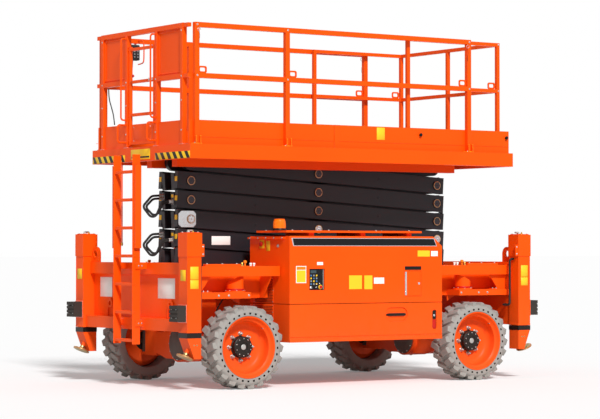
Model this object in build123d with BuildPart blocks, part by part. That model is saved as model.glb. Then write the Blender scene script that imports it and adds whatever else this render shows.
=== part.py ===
from build123d import *
from math import atan2, cos, degrees, pi, radians, sin
import os

os.makedirs("parts", exist_ok=True)

# Rough-terrain scissor lift, millimetres.
# X runs along the machine with the ladder at -X, Y across it, Z up from the ground.

# wheels and axles
wheel_base = 2918.0
tyre_radius = 420.0
tyre_half_track_outer = 1150.0
tyre_width = 300.0
rim_radius = 312.0
rim_sheet = 12.0
bore_sides = 28
flare_step = 15.4
flare_depth = 80.0
flare_angle = 34.0
barrel_radius = 276.0
disc_face_y = tyre_half_track_outer - 185
kingpin_y = tyre_half_track_outer - 250
kingpin_radius = 22.0
housing_radius = 190.0
housing_half = 140.0
yoke_half_height = 145.0
yoke_ear = 30.0
yoke_round = 48.0
yoke_root_y = kingpin_y - 100
knuckle_radius = 46.0
spindle_radius = 36.0
hub_radius = 107.0
hub_face_y = tyre_half_track_outer - 104
nut_circle = 136.0
nut_count = 8
nut_radius = 17.0
nut_height = 26.0
lug_count = 22
lug_height = 26.0
lug_width = 62.0
lug_slant = 24.0
shoulder = 22.0
lug_length = 130.0

# chassis
post_size = 160.0
post_outer_x = 2184.0
post_outer_y = 1149.0
post_wall = 10.0
post_bottom_z = 577.0
cap_top_z = 1565.0
cap_height = 235.0
cap_lip = 7.0
side_beam_outer_y = 990.0
side_beam_width = 60.0
side_beam_bottom_z = 1133.0
side_beam_top_z = 1234.0
rail_inner_y = 206.0
rail_width = 100.0
rail_wall = 14.0
track_gap = 92.0
track_start_x = 400.0
track_end_x = 1740.0
wall_y = 760.0
wall_sheet = 12.0
end_beam_x = 2100.0
end_beam_depth = 80.0
end_beam_bottom_z = 1150.0
end_beam_top_z = 1270.0
end_plate_x = 2050.0
low_beam_bottom_z = 582.0
low_beam_top_z = 704.0
fender_start_x = 1335.0
fender_bottom_z = 907.0
fender_top_z = 970.0
tower_radius = 85.0
tower_y = 885.0
bumper_outer_x = 2300.0
bumper_width = 150.0
bumper_height = 160.0
bumper_z = 768.0
bumper_ribs = 4
bumper_groove = 10.0
axle_centre_z = tyre_radius

# jacks
band_height = 52.0
shoe_height = 205.0
ram_size = 120.0
ram_length = 620.0
foot_radius = 86.0
foot_thickness = 14.0
foot_tilt = 24.0
foot_out = 60.0
foot_z = 335.0
foot_stem = 20.0

# scissor stack
levels = 6
pitch = 199.0
level_zero_z = 1121.0
left_pin_x = -1565.0
pin_span = 3202.0
arm_depth = 180.0
arm_width = 60.0
arm_wall = 6.0
outer_arm_y = 190.0
arm_gap = 6.0
left_overhang = 160.0
right_overhang = 96.0
pin_radius = 30.0
pin_bore = 20.0
pin_fit = 0.05
open_pin_gap = 3.0
boss_radius = 62.0
ring_radius = 42.0
ring_proud = 8.0
tie_radius = 50.0
roller_clearance = 6.0
tie_places = (-1150.0, 950.0)
lift_base_s = 950.0
lift_eye_s = -300.0
lift_barrel_radius = 48.0
lift_rod_radius = 32.0
eye_radius = 52.0
eye_half_width = 32.0
lug_reach = 240.0
lug_gap = 8.0
lug_plate = 16.0
hose_radius = 12.0

# side cabinets
cabinet_half_length = 973.0
cabinet_outer_y = 1150.0
cabinet_inner_y = 405.0
cabinet_bottom_z = 457.0
cabinet_seam_z = 848.0
cabinet_top_z = 1540.0
cabinet_sheet = 20.0
hood_gap = 6.0
corner_cut_x = 120.0
corner_cut_z = 100.0
canopy_reach = 30.0
pocket_depth = 12.0
handle_x = 373.0
handle_z = 721.0
handle_width = 290.0
handle_height = 150.0
latch_x = 873.0
latch_width = 56.0
latch_height = 210.0
panel_x = (-730.0, -540.0)
panel_z = (985.0, 1205.0)
flap_x = (484.0, 694.0)
flap_z = (915.0, 1175.0)
beacon_x = -965.0
beacon_y = -950.0
beacon_radius = 60.0
beacon_height = 118.0
hood_grille_z = 870.0
grille_slit = 14.0

# platform
deck_half_length = 2065.0
deck_half_width = 1007.0
skirt_bottom_z = 2310.0
skirt_top_z = 2457.0
skirt_wall = 40.0
floor_thickness = 24.0
toe_bottom_z = 2530.0
toe_top_z = 2700.0
toe_thickness = 20.0
rail_tube = 50.0
rail_plane_y = 960.0
top_rail_z = 3650.0
mid_rail_z = 3142.0
end_rail_x = deck_half_length - 35
side_guard_start_x = 60 - end_rail_x
main_rail_end_x = 1478.0
extension_rail_y = 885.0
extension_tube = 38.0
loop_width = 96.0
loop_height = 72.0
loop_thickness = 12.0
grab_radius = 9.0
grab_bend = 30.0


def block(x, y, z, mode=Mode.ADD):
    """A box from its (low, high) limits on each axis."""
    with Locations(((x[0] + x[1]) / 2, (y[0] + y[1]) / 2, (z[0] + z[1]) / 2)):
        Box(x[1] - x[0], y[1] - y[0], z[1] - z[0], mode=mode)


def both(side, inner, outer):
    """Limits on Y of a piece on the +1 or -1 side."""
    return tuple(sorted((side * inner, side * outer)))


def across(x, z, radius, y, mode=Mode.ADD):
    """A round bar along Y."""
    with BuildSketch(Plane((x, y[1], z), x_dir=(1, 0, 0), z_dir=(0, -1, 0))) as disc:
        Circle(radius)
    extrude(disc.sketch, amount=y[1] - y[0], mode=mode)


def keep(piece, name):
    piece.part.label = name
    export_step(piece.part, f"parts/{name}.step")


corners = [(end, side) for end in (-1, 1) for side in (-1, 1)]
corner_names = {(-1, -1): "rear_right", (-1, 1): "rear_left", (1, -1): "front_right", (1, 1): "front_left"}
half_span = pin_span / 2
rest_angle = atan2(pitch, pin_span)
arm_length = pin_span / cos(rest_angle)
half_arm = arm_length / 2
centre_x = left_pin_x + half_span
right_pin_x = left_pin_x + pin_span
inner_arm_y = outer_arm_y - arm_width - arm_gap
inner_arm_in_y = inner_arm_y - arm_width
rail_outer_y = rail_inner_y + rail_width
roller_radius = track_gap / 2 - roller_clearance
pin_reach = rail_outer_y - rail_wall - roller_clearance


def level_z(level):
    return level_zero_z + pitch * level


def on_arm(kind, level, s):
    """Where a point s along an arm from its middle stands; outer arms fall toward +X."""
    rise = 1 if kind == "inner" else -1
    x = centre_x + s * cos(rest_angle)
    z = level_z(level - 0.5) + rise * s * sin(rest_angle)
    return x, z


def arm_plane(kind, level, y):
    """The arm's own plane: local X along the arm, looking along +Y."""
    rise = 1 if kind == "inner" else -1
    x, z = on_arm(kind, level, 0)
    along = (cos(rest_angle), 0, rise * sin(rest_angle))
    return Plane((x, y, z), x_dir=along, z_dir=(0, -1, 0))


def arm_outline(square_ends, reduce=0.0):
    """Box arm seen from the side: rounded at its pins, or run on square past the (-X, +X) pins."""
    SlotCenterToCenter(arm_length, arm_depth - 2 * reduce)
    for end, square, overhang in zip((-1, 1), square_ends, (left_overhang, right_overhang)):
        reach = overhang - reduce
        if square:
            with Locations((end * (half_arm + reach / 2), 0)):
                Rectangle(reach, arm_depth - 2 * reduce)


def arm_beams(kind, level, outer_y, square_ends):
    for side in (-1, 1):
        front = -outer_y if side < 0 else outer_y - arm_width
        back = front + arm_width
        with BuildSketch(arm_plane(kind, level, back)) as skin:
            arm_outline(square_ends)
        extrude(skin.sketch, amount=arm_width)
        with BuildSketch(arm_plane(kind, level, back - arm_wall)) as hollow:
            arm_outline(square_ends, arm_wall)
        extrude(hollow.sketch, amount=arm_width - 2 * arm_wall, mode=Mode.SUBTRACT)
        for s in (-half_arm, 0, half_arm):
            x, z = on_arm(kind, level, s)
            across(x, z, boss_radius, (front, back))


def rollers(z):
    """The pair of rollers that run in the long members' tracks."""
    for side in (-1, 1):
        across(right_pin_x, z, roller_radius, both(side, rail_inner_y + roller_clearance, pin_reach))


def outer_arm(level):
    with BuildPart() as piece:
        arm_beams("outer", level, outer_arm_y, (level < levels, level > 1))
        for s in (-half_arm, half_arm):
            x, z = on_arm("outer", level, s)
            reach = outer_arm_y + ring_proud
            if (level == levels and s < 0) or (level == 1 and s > 0):
                reach = pin_reach
            across(x, z, pin_radius, (-reach, reach))
            across(x, z, pin_bore, (-reach, reach), mode=Mode.SUBTRACT)
        x, z = on_arm("outer", level, 0)
        for side in (-1, 1):
            across(x, z, pin_radius, both(side, inner_arm_in_y, outer_arm_y + ring_proud))
        for s in (-half_arm, 0, half_arm):
            x, z = on_arm("outer", level, s)
            for side in (-1, 1):
                across(x, z, ring_radius, both(side, outer_arm_y, outer_arm_y + ring_proud))
                across(x, z, pin_bore, both(side, outer_arm_y, outer_arm_y + ring_proud), Mode.SUBTRACT)
        if level == 1:
            rollers(level_zero_z)
    return piece


def lift_lugs(level):
    """Cross tube with a pair of lugs for the rod's eye."""
    x, z = on_arm("inner", level, lift_eye_s - lug_reach)
    across(x, z, tie_radius, (-inner_arm_in_y, inner_arm_in_y))
    for face in (-1, 1):
        near = face * (eye_half_width + lug_gap)
        back = max(near, near + face * lug_plate)
        with BuildSketch(arm_plane("inner", level, back)) as lug:
            with Locations((lift_eye_s - lug_reach / 2, 0)):
                SlotCenterToCenter(lug_reach, 2 * eye_radius)
            with Locations((lift_eye_s, 0)):
                Circle(pin_radius, mode=Mode.SUBTRACT)
        extrude(lug.sketch, amount=lug_plate)


def inner_arm(level):
    with BuildPart() as piece:
        arm_beams("inner", level, inner_arm_y, (level > 1, level < levels))
        for s in tie_places:
            x, z = on_arm("inner", level, s)
            across(x, z, tie_radius, (-inner_arm_in_y, inner_arm_in_y))
            across(x, z, tie_radius - arm_wall, (-inner_arm_in_y, inner_arm_in_y), Mode.SUBTRACT)
        if level == 2:
            lift_lugs(level)
        # the stack folds as a zigzag: every second pin on each side holds, and the others run with play
        gap = pin_fit if level % 2 else open_pin_gap
        bores = ((-half_arm, gap, level > 1), (0, pin_fit, True), (half_arm, gap, level < levels))
        for s, gap, wanted in bores:
            x, z = on_arm("inner", level, s)
            if wanted:
                across(x, z, pin_radius + gap, (-inner_arm_y, inner_arm_y), Mode.SUBTRACT)
        for s, wanted in ((-half_arm, level == 1), (half_arm, level == levels)):
            x, z = on_arm("inner", level, s)
            if wanted:
                for side in (-1, 1):
                    across(x, z, pin_radius, both(side, inner_arm_y - 5, pin_reach))
        if level == levels:
            rollers(level_z(levels))
    return piece


for level in range(1, levels + 1):
    keep(outer_arm(level), f"outer_arm_{level}")
    keep(inner_arm(level), f"inner_arm_{level}")

# lift cylinders between the first two pairs of inner arms
base_x, base_z = on_arm("inner", 1, lift_base_s)
eye_x, eye_z = on_arm("inner", 2, lift_eye_s)
lift_length = ((eye_x - base_x) ** 2 + (eye_z - base_z) ** 2) ** 0.5
lift_dir = ((eye_x - base_x) / lift_length, 0, (eye_z - base_z) / lift_length)
barrel_end = lift_length - 150
rod_start = barrel_end - lift_length * 0.6


def lift_bar(start, end, radius, mode=Mode.ADD):
    """Round bar along the lift cylinder, from start to end away from its base pin."""
    place = (base_x + lift_dir[0] * start, 0, base_z + lift_dir[2] * start)
    with BuildSketch(Plane(place, x_dir=(0, 1, 0), z_dir=lift_dir)) as disc:
        Circle(radius)
    extrude(disc.sketch, amount=end - start, mode=mode)


with BuildPart() as lift_barrels:
    eye = (-lift_barrel_radius - 2, lift_barrel_radius + 2)
    lift_bar(0, barrel_end, lift_barrel_radius)
    lift_bar(barrel_end - 60, barrel_end, lift_barrel_radius + 8)
    across(base_x, base_z, tie_radius + 24, eye)
    across(base_x, base_z, tie_radius + 0.3, eye, mode=Mode.SUBTRACT)
    lift_bar(rod_start - 10, barrel_end, lift_rod_radius + 0.3, mode=Mode.SUBTRACT)
keep(lift_barrels, "lift_barrels")

with BuildPart() as lift_rods:
    eye = (-eye_half_width, eye_half_width)
    lift_bar(rod_start, lift_length, lift_rod_radius - 2)
    lift_bar(rod_start, lift_length - eye_radius - 10, lift_rod_radius)
    across(eye_x, eye_z, eye_radius, eye)
    across(eye_x, eye_z, pin_radius, (eye[0] - 5, eye[1] + 5), Mode.SUBTRACT)
keep(lift_rods, "lift_rods")


def hose(route, bends):
    """A hose along straight runs joined by arcs."""
    with BuildLine() as path:
        FilletPolyline(*route, radius=bends)
    start = Vector(*route[0])
    with BuildSketch(Plane(start, z_dir=Vector(*route[1]) - start)) as section:
        Circle(hose_radius)
    sweep(section.sketch, path=path.line)


def beyond(level, end, reach, y, rise):
    """A point past an inner arm's square end, in the arm's own directions."""
    overhang = left_overhang if end < 0 else right_overhang
    x, z = on_arm("inner", level, end * (half_arm + overhang + reach))
    return x - rise * sin(rest_angle), y, z + rise * cos(rest_angle)


# hose loops at the arms' ends: (node, level of the inner arm, end, reach, drop, bend)
hose_loops = (
    ("rear_hoses_upper", 5, -1, 280.0, 200.0, 90.0),
    ("rear_hoses_lower", 3, -1, 280.0, 200.0, 90.0),
    ("front_hoses_upper", 4, 1, 110.0, 150.0, 38.0),
    ("front_hoses_lower", 2, 1, 110.0, 150.0, 38.0),
)
hose_y = inner_arm_in_y + arm_width / 2
hose_rise = 60.0
for name, level, end, reach, drop, bend in hose_loops:
    with BuildPart() as loops:
        for inset in (0.0, 2.6 * hose_radius):
            out = reach - inset
            high = hose_rise - inset
            low = inset - drop
            route = (
                beyond(level, end, 0, hose_y, high),
                beyond(level, end, out * 0.5, hose_y, high),
                beyond(level, end, out, hose_y / 2, high - 0.4 * (high - low)),
                beyond(level, end, out * 0.75, -hose_y / 2, low),
                beyond(level, end, out * 0.45, -hose_y, -inset / 2),
                beyond(level, end, 0, -hose_y, -inset / 2),
            )
            hose(route, [bend, bend * 0.6, bend * 0.55, bend * 0.6])
    keep(loops, name)

# chassis
track_bottom_z = level_zero_z - track_gap / 2
track_top_z = level_zero_z + track_gap / 2


def long_rail(centre_z, start_x, end_x, pin_x):
    """Long member each side with the slider's track cut into its inner face."""
    low = centre_z - track_gap / 2 - rail_wall
    high = centre_z + track_gap / 2 + rail_wall
    for side in (-1, 1):
        block((start_x, end_x), both(side, rail_inner_y, rail_outer_y), (low, high))
        slot = both(side, rail_inner_y, rail_outer_y - rail_wall)
        block((track_start_x, track_end_x), slot, (low + rail_wall, high - rail_wall), Mode.SUBTRACT)
        pocket = (pin_x + 130, track_start_x - rail_wall)
        block(pocket, slot, (low + rail_wall, high - rail_wall), Mode.SUBTRACT)
        reach = rail_outer_y - rail_wall
        across(pin_x, centre_z, pin_radius + pin_fit, both(side, rail_inner_y, reach), Mode.SUBTRACT)


with BuildPart() as long_rails:
    long_rail(level_zero_z, -end_beam_x + end_beam_depth, end_beam_x - end_beam_depth, left_pin_x)
keep(long_rails, "long_rails")

rail_bottom_z = track_bottom_z - rail_wall
member_top_z = 1010.0
member_bottom_z = 900.0
member_half = 40.0
member_reach = wall_y - wall_sheet
# (place on X, reach on Y)
members = (
    (-1960.0, member_reach),
    (-1150.0, member_reach),
    (-600.0, cabinet_inner_y),
    (0.0, cabinet_inner_y),
    (600.0, cabinet_inner_y),
    (1150.0, member_reach),
    (1960.0, member_reach),
)
with BuildPart() as cross_members:
    for x, reach in members:
        limits = (x - member_half, x + member_half)
        block(limits, (-reach, reach), (member_bottom_z, member_top_z))
        for side in (-1, 1):
            y = both(side, rail_inner_y + 10, rail_outer_y - 10)
            block(limits, y, (member_top_z, rail_bottom_z))
keep(cross_members, "cross_members")

with BuildPart() as belly_rails:
    for (start, _), (end, _) in zip(members, members[1:]):
        for side in (-1, 1):
            x = (start + member_half, end - member_half)
            block(x, both(side, 250, 330), (member_bottom_z, member_top_z))
    for end in (-1, 1):
        for side in (-1, 1):
            x = both(end, wheel_base / 2 - 150, wheel_base / 2 + 150)
            block(x, both(side, 250, 275), (axle_centre_z + 115, member_bottom_z))
keep(belly_rails, "belly_rails")

post_inner_x = post_outer_x - post_size
post_inner_y = post_outer_y - post_size
lifting_hole_radius = 38.0
lifting_plate = 25.0
lifting_half_width = 75.0
lifting_y = 900.0
lifting_x = 2060.0
lifting_z = 1357.0
with BuildPart() as end_frames:
    for end in (-1, 1):
        x = both(end, end_beam_x - end_beam_depth, end_beam_x)
        block(x, (-post_inner_y, post_inner_y), (end_beam_bottom_z, end_beam_top_z))
        x = both(end, end_plate_x - 12, end_plate_x)
        block(x, (-post_inner_y, post_inner_y), (low_beam_top_z, end_beam_bottom_z))
        x = both(end, end_plate_x - 12, post_outer_x - 30)
        block(x, (-post_inner_y, post_inner_y), (low_beam_bottom_z, low_beam_top_z))
        for side in (-1, 1):
            with BuildSketch(Plane.YZ.offset(end * lifting_x)) as lug:
                with Locations((side * lifting_y, lifting_z)):
                    Circle(lifting_half_width)
                with Locations((side * lifting_y, (lifting_z + end_beam_top_z) / 2)):
                    Rectangle(2 * lifting_half_width, lifting_z - end_beam_top_z)
                with Locations((side * lifting_y, lifting_z)):
                    Circle(lifting_hole_radius, mode=Mode.SUBTRACT)
            extrude(lug.sketch, amount=end * lifting_plate)
keep(end_frames, "end_frames")

gusset_sheet = 12.0


def tower(end, side):
    """Upright tube over an axle end, its top cut obliquely and its foot flanged."""
    with BuildPart() as tube:
        with BuildSketch(Plane.XY.offset(fender_top_z)) as disc:
            with Locations((end * wheel_base / 2, side * tower_y)):
                Circle(tower_radius)
        extrude(disc.sketch, amount=side_beam_bottom_z - fender_top_z)
        cut = Plane((end * wheel_base / 2, 0, side_beam_bottom_z - 45), z_dir=(end * 0.45, 0, 0.9))
        split(bisect_by=cut, keep=Keep.BOTTOM)
        with BuildSketch(Plane.XY.offset(fender_top_z)) as flange:
            with Locations((end * wheel_base / 2, side * tower_y)):
                Circle(tower_radius + 20)
        extrude(flange.sketch, amount=16)
    return tube.part


towers = [tower(end, side) for end, side in corners]
with BuildPart() as arch_frames:
    for end, side in corners:
        y = both(side, side_beam_outer_y - side_beam_width, side_beam_outer_y)
        x = both(end, cabinet_half_length + 12, end_beam_x - end_beam_depth)
        block(x, y, (side_beam_bottom_z, side_beam_top_z))
        y = both(side, wall_y - wall_sheet, wall_y)
        block(x, y, (fender_bottom_z, side_beam_top_z))
        y = both(side, rail_outer_y, side_beam_outer_y - side_beam_width)
        for stay in (cabinet_half_length + 12, post_inner_x - 60):
            block(both(end, stay, stay + 40), y, (side_beam_bottom_z, side_beam_top_z))
        x = both(end, fender_start_x, post_inner_x)
        block(x, both(side, wall_y, side_beam_outer_y), (fender_bottom_z, fender_top_z))
        y = side * (side_beam_outer_y - side_beam_width)
        with BuildSketch(Plane.XZ.offset(-y)) as web:
            with BuildLine():
                Polyline(
                    (end * post_inner_x, fender_top_z),
                    (end * post_inner_x, side_beam_bottom_z),
                    (end * (post_inner_x - 240), side_beam_bottom_z),
                    (end * (post_inner_x - 120), fender_top_z),
                    close=True,
                )
            make_face()
        extrude(web.sketch, amount=-side * gusset_sheet)
        with BuildSketch(Plane.YZ.offset(end * (cabinet_half_length + 100))) as web:
            with BuildLine():
                Polyline(
                    (side * wall_y, side_beam_bottom_z),
                    (side * (side_beam_outer_y - 12), side_beam_bottom_z),
                    (side * (wall_y + 60), fender_bottom_z),
                    (side * wall_y, fender_bottom_z),
                    close=True,
                )
            make_face()
        extrude(web.sketch, amount=end * gusset_sheet)
        with BuildSketch(Plane.XZ.offset(-side * wall_y)) as hanger:
            with BuildLine():
                Polyline(
                    (end * fender_start_x, fender_bottom_z),
                    (end * (fender_start_x + 110), fender_bottom_z),
                    (end * fender_start_x, fender_bottom_z - 60),
                    close=True,
                )
            make_face()
        extrude(hanger.sketch, amount=-side * gusset_sheet)
    add(towers)
keep(arch_frames, "arch_frames")


def post_limits(end, side, grow=0.0):
    x = both(end, post_outer_x - post_size - grow, post_outer_x + grow)
    y = both(side, post_outer_y - post_size - grow, post_outer_y + grow)
    return x, y


with BuildPart() as jack_posts:
    for end, side in corners:
        x, y = post_limits(end, side)
        block(x, y, (post_bottom_z, cap_top_z - 12))
        x, y = post_limits(end, side, cap_lip)
        block(x, y, (cap_top_z - cap_height, cap_top_z))
        x, y = post_limits(end, side, -post_wall)
        block(x, y, (post_bottom_z, cap_top_z - 12), Mode.SUBTRACT)
keep(jack_posts, "jack_posts")

post_hose_x = post_inner_x - 49
post_hose_y = post_outer_y - post_size / 2 - 10
with BuildPart() as post_hoses:
    for end, side in corners:
        route = (
            (end * post_inner_x, side * post_hose_y, 1300),
            (end * post_hose_x, side * post_hose_y, 1300),
            (end * post_hose_x, side * post_hose_y, 800),
            (end * post_hose_x, side * 930, 800),
            (end * (end_plate_x - 12), side * 930, 800),
        )
        hose(route, 30)
keep(post_hoses, "post_hoses")

band_z = post_bottom_z - band_height
shoe_z = band_z - shoe_height
for end, side in corners:
    cx = end * (post_outer_x - post_size / 2)
    cy = side * (post_outer_y - post_size / 2)
    with BuildPart() as jack_leg:
        half = ram_size / 2
        block((cx - half, cx + half), (cy - half, cy + half), (band_z, band_z + ram_length))
        head = post_size / 2 - post_wall - 0.3
        top = band_z + ram_length
        block((cx - head, cx + head), (cy - head, cy + head), (top - 60, top))
        half = post_size / 2
        block((cx - half, cx + half), (cy - half, cy + half), (band_z, post_bottom_z - 6))
        with BuildSketch(Plane.XZ.offset(-cy - half)) as shoe:
            with BuildLine():
                Polyline(
                    (cx - end * half, band_z),
                    (cx + end * half, band_z),
                    (cx - end * 0, shoe_z),
                    (cx - end * half, shoe_z),
                    close=True,
                )
            make_face()
        extrude(shoe.sketch, amount=post_size)
        lean = (-end * sin(radians(foot_tilt)), 0, cos(radians(foot_tilt)))
        with BuildSketch(Plane((cx + end * foot_out, cy, foot_z), z_dir=lean)) as foot:
            Circle(foot_radius)
        extrude(foot.sketch, amount=foot_thickness / 2, both=True)
        with BuildSketch(Plane((cx + end * foot_out, cy, foot_z), z_dir=lean)) as stem:
            Circle(foot_stem)
        extrude(stem.sketch, amount=5 * foot_stem)
    keep(jack_leg, "jack_leg_" + corner_names[end, side])

with BuildPart() as bumpers:
    for end, side in corners:
        x = both(end, post_outer_x, bumper_outer_x)
        cy = side * (post_outer_y - post_size / 2)
        y = (cy - bumper_width / 2, cy + bumper_width / 2)
        block(x, y, (bumper_z - bumper_height / 2, bumper_z + bumper_height / 2))
        face = both(end, bumper_outer_x - bumper_groove, bumper_outer_x)
        for rib in range(1, bumper_ribs):
            z = bumper_z - bumper_height / 2 + rib * bumper_height / bumper_ribs
            block(face, y, (z - bumper_groove / 2, z + bumper_groove / 2), Mode.SUBTRACT)
keep(bumpers, "bumpers")

with BuildPart() as axle_beams:
    for end in (-1, 1):
        x = end * wheel_base / 2
        with BuildSketch(Plane.YZ.offset(x - 90)) as beam:
            with BuildLine():
                Polyline(
                    (-600, axle_centre_z - 100),
                    (-330, axle_centre_z - 165),
                    (330, axle_centre_z - 165),
                    (600, axle_centre_z - 100),
                    (600, axle_centre_z + 100),
                    (330, axle_centre_z + 115),
                    (-330, axle_centre_z + 115),
                    (-600, axle_centre_z + 100),
                    close=True,
                )
            make_face()
        extrude(beam.sketch, amount=180)
        with BuildSketch(Plane.YZ.offset(x)) as housing:
            with Locations((0, axle_centre_z)):
                Circle(housing_radius)
        extrude(housing.sketch, amount=housing_half, both=True)
        for side in (-1, 1):
            z = (axle_centre_z - yoke_half_height, axle_centre_z + yoke_half_height)
            block((x - 75, x + 75), both(side, 560, yoke_root_y), z)
            for ear in (-1, 1):
                face_z = axle_centre_z + ear * (yoke_half_height - yoke_ear)
                with BuildSketch(Plane.XY.offset(face_z)) as plate:
                    with Locations((x, side * kingpin_y)):
                        Circle(yoke_round)
                    with Locations((x, side * (kingpin_y + yoke_root_y) / 2)):
                        Rectangle(2 * yoke_round, kingpin_y - yoke_root_y)
                extrude(plate.sketch, amount=ear * yoke_ear)
            with BuildSketch(Plane.XY.offset(axle_centre_z - yoke_half_height)) as pin:
                with Locations((x, side * kingpin_y)):
                    Circle(kingpin_radius + pin_fit)
            extrude(pin.sketch, amount=2 * yoke_half_height, mode=Mode.SUBTRACT)
keep(axle_beams, "axle_beams")

ear_inner = yoke_half_height - yoke_ear
lug_corner = (lug_length * sin(radians(lug_slant)) + lug_width * cos(radians(lug_slant))) / 2
lug_top = (tyre_radius**2 - lug_corner**2) ** 0.5
carcass = tyre_radius - lug_height
for end, side in corners:
    x = end * wheel_base / 2
    name = corner_names[end, side]
    with BuildPart() as knuckle:
        with BuildSketch(Plane.XY.offset(axle_centre_z - ear_inner + 0.3)) as body:
            with Locations((x, side * kingpin_y)):
                Circle(knuckle_radius)
        extrude(body.sketch, amount=2 * ear_inner - 0.6)
        with BuildSketch(Plane.XY.offset(axle_centre_z - yoke_half_height)) as pin:
            with Locations((x, side * kingpin_y)):
                Circle(kingpin_radius)
        extrude(pin.sketch, amount=2 * yoke_half_height)
        across(x, axle_centre_z, spindle_radius, both(side, kingpin_y, hub_face_y - 30))
    keep(knuckle, "knuckle_" + name)

    def ring_profile(points):
        return [(side * y, axle_centre_z + r) for y, r in points]

    axis = Axis((x, 0, axle_centre_z), (0, 1, 0))
    with BuildPart() as rim:
        with BuildSketch(Plane.YZ.offset(x)) as section:
            with BuildLine():
                Polyline(
                    *ring_profile(
                        (
                            (tyre_half_track_outer - 4, rim_radius),
                            (tyre_half_track_outer - 4, rim_radius - rim_sheet),
                            (tyre_half_track_outer - 30, barrel_radius + 14),
                            (tyre_half_track_outer - 50, barrel_radius - rim_sheet),
                            (disc_face_y + 60, barrel_radius - rim_sheet - 4),
                            (disc_face_y + rim_sheet, barrel_radius - 60),
                            (disc_face_y + rim_sheet, hub_radius),
                            (hub_face_y - 12, hub_radius),
                            (hub_face_y, hub_radius - 12),
                            (hub_face_y, spindle_radius - 22),
                            (hub_face_y - 29, spindle_radius - 22),
                            (hub_face_y - 29, spindle_radius + pin_fit),
                            (disc_face_y - 10, spindle_radius + pin_fit),
                            (disc_face_y - 10, hub_radius - 20),
                            (disc_face_y, hub_radius),
                            (disc_face_y, barrel_radius - 52),
                            (disc_face_y + 50, barrel_radius),
                            (tyre_half_track_outer - 50, barrel_radius + 2),
                            (tyre_half_track_outer - 34, rim_radius - 8),
                            (tyre_half_track_outer - 22, rim_radius),
                        )
                    ),
                    close=True,
                )
            make_face()
        revolve(section.sketch, axis=axis)
        seat = (x, side * (disc_face_y + rim_sheet), axle_centre_z)
        face = Plane(seat, x_dir=(1, 0, 0), z_dir=(0, side, 0))
        with BuildSketch(face) as nuts:
            with PolarLocations(nut_circle, nut_count):
                RegularPolygon(nut_radius, 6)
        extrude(nuts.sketch, amount=nut_height)
    keep(rim, "rim_" + name)

    with BuildPart() as tyre:
        middle = tyre_half_track_outer - tyre_width / 2
        for half in (-1, 1):
            turn = 0 if half > 0 else 180 / lug_count
            face = Plane((x, side * middle, axle_centre_z), x_dir=(0, 0, 1), z_dir=(0, side * half, 0))
            with BuildSketch(face) as tread:
                RegularPolygon(carcass, lug_count, major_radius=False, rotation=turn)
            extrude(tread.sketch, amount=tyre_width / 2)
        edges = tyre.edges().group_by(Axis.Y)
        chamfer(edges[0] + edges[-1], shoulder)
        centre = (x, side * tyre_half_track_outer, axle_centre_z)
        bead = Plane(centre, x_dir=(0, 0, 1), z_dir=(0, -side, 0))
        with BuildSketch(bead) as bore:
            RegularPolygon(barrel_radius + 4, bore_sides, major_radius=False)
        extrude(bore.sketch, amount=tyre_width, mode=Mode.SUBTRACT)
        with BuildSketch(bead) as flare:
            RegularPolygon(rim_radius + flare_step, bore_sides, major_radius=False)
        extrude(flare.sketch, amount=flare_depth, taper=flare_angle, mode=Mode.SUBTRACT)
        for step in range(lug_count):
            for half in (-1, 1):
                turn = 2 * pi * (step + (0.5 if half > 0 else 0)) / lug_count
                up = (sin(turn), 0, cos(turn))
                foot = carcass - 8
                lug_y = side * (middle + half * (tyre_width - lug_length + 10) / 4)
                place = (x + up[0] * foot, lug_y, axle_centre_z + up[2] * foot)
                face = Plane(place, x_dir=(0, 1, 0), z_dir=up)
                with BuildSketch(face) as lug:
                    Rectangle(lug_length, lug_width, rotation=half * side * lug_slant)
                extrude(lug.sketch, amount=lug_top - foot)
    keep(tyre, "tyre_" + name)

# ladder at the -X end
ladder_front_x = 2260.0
ladder_depth = 86.0
ladder_half_width = 200.0
ladder_top_z = 2372.0
ladder_bottom_z = 435.0
rung_first_z = 473.0
rung_pitch = 287.0
rung_count = 7
stile_sheet = 10.0
with BuildPart() as ladder:
    back_x = -ladder_front_x + ladder_depth
    for side in (-1, 1):
        y = both(side, ladder_half_width - stile_sheet, ladder_half_width)
        block((-ladder_front_x, back_x), y, (ladder_bottom_z, ladder_top_z))
        y = both(side, ladder_half_width, ladder_half_width + 40)
        block((-ladder_front_x + 8, -ladder_front_x + 18), y, (1415, 2265))
        block((back_x - 18, back_x - 8), y, (1415, 2265))
        y = both(side, ladder_half_width + 30, ladder_half_width + 40)
        block((-ladder_front_x + 8, back_x - 8), y, (1415, 2265))
        for z in (1235, 650):
            y = both(side, ladder_half_width, ladder_half_width + 12)
            block((back_x - 60, -end_beam_x if z > 1000 else -post_outer_x + 30), y, (z - 32, z + 32))
    for rung in range(rung_count):
        z = rung_first_z + rung * rung_pitch
        inner = ladder_half_width - stile_sheet
        block((-ladder_front_x + 8, -ladder_front_x + 40), (-inner, inner), (z - 14, z + 14))
keep(ladder, "ladder")

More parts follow.
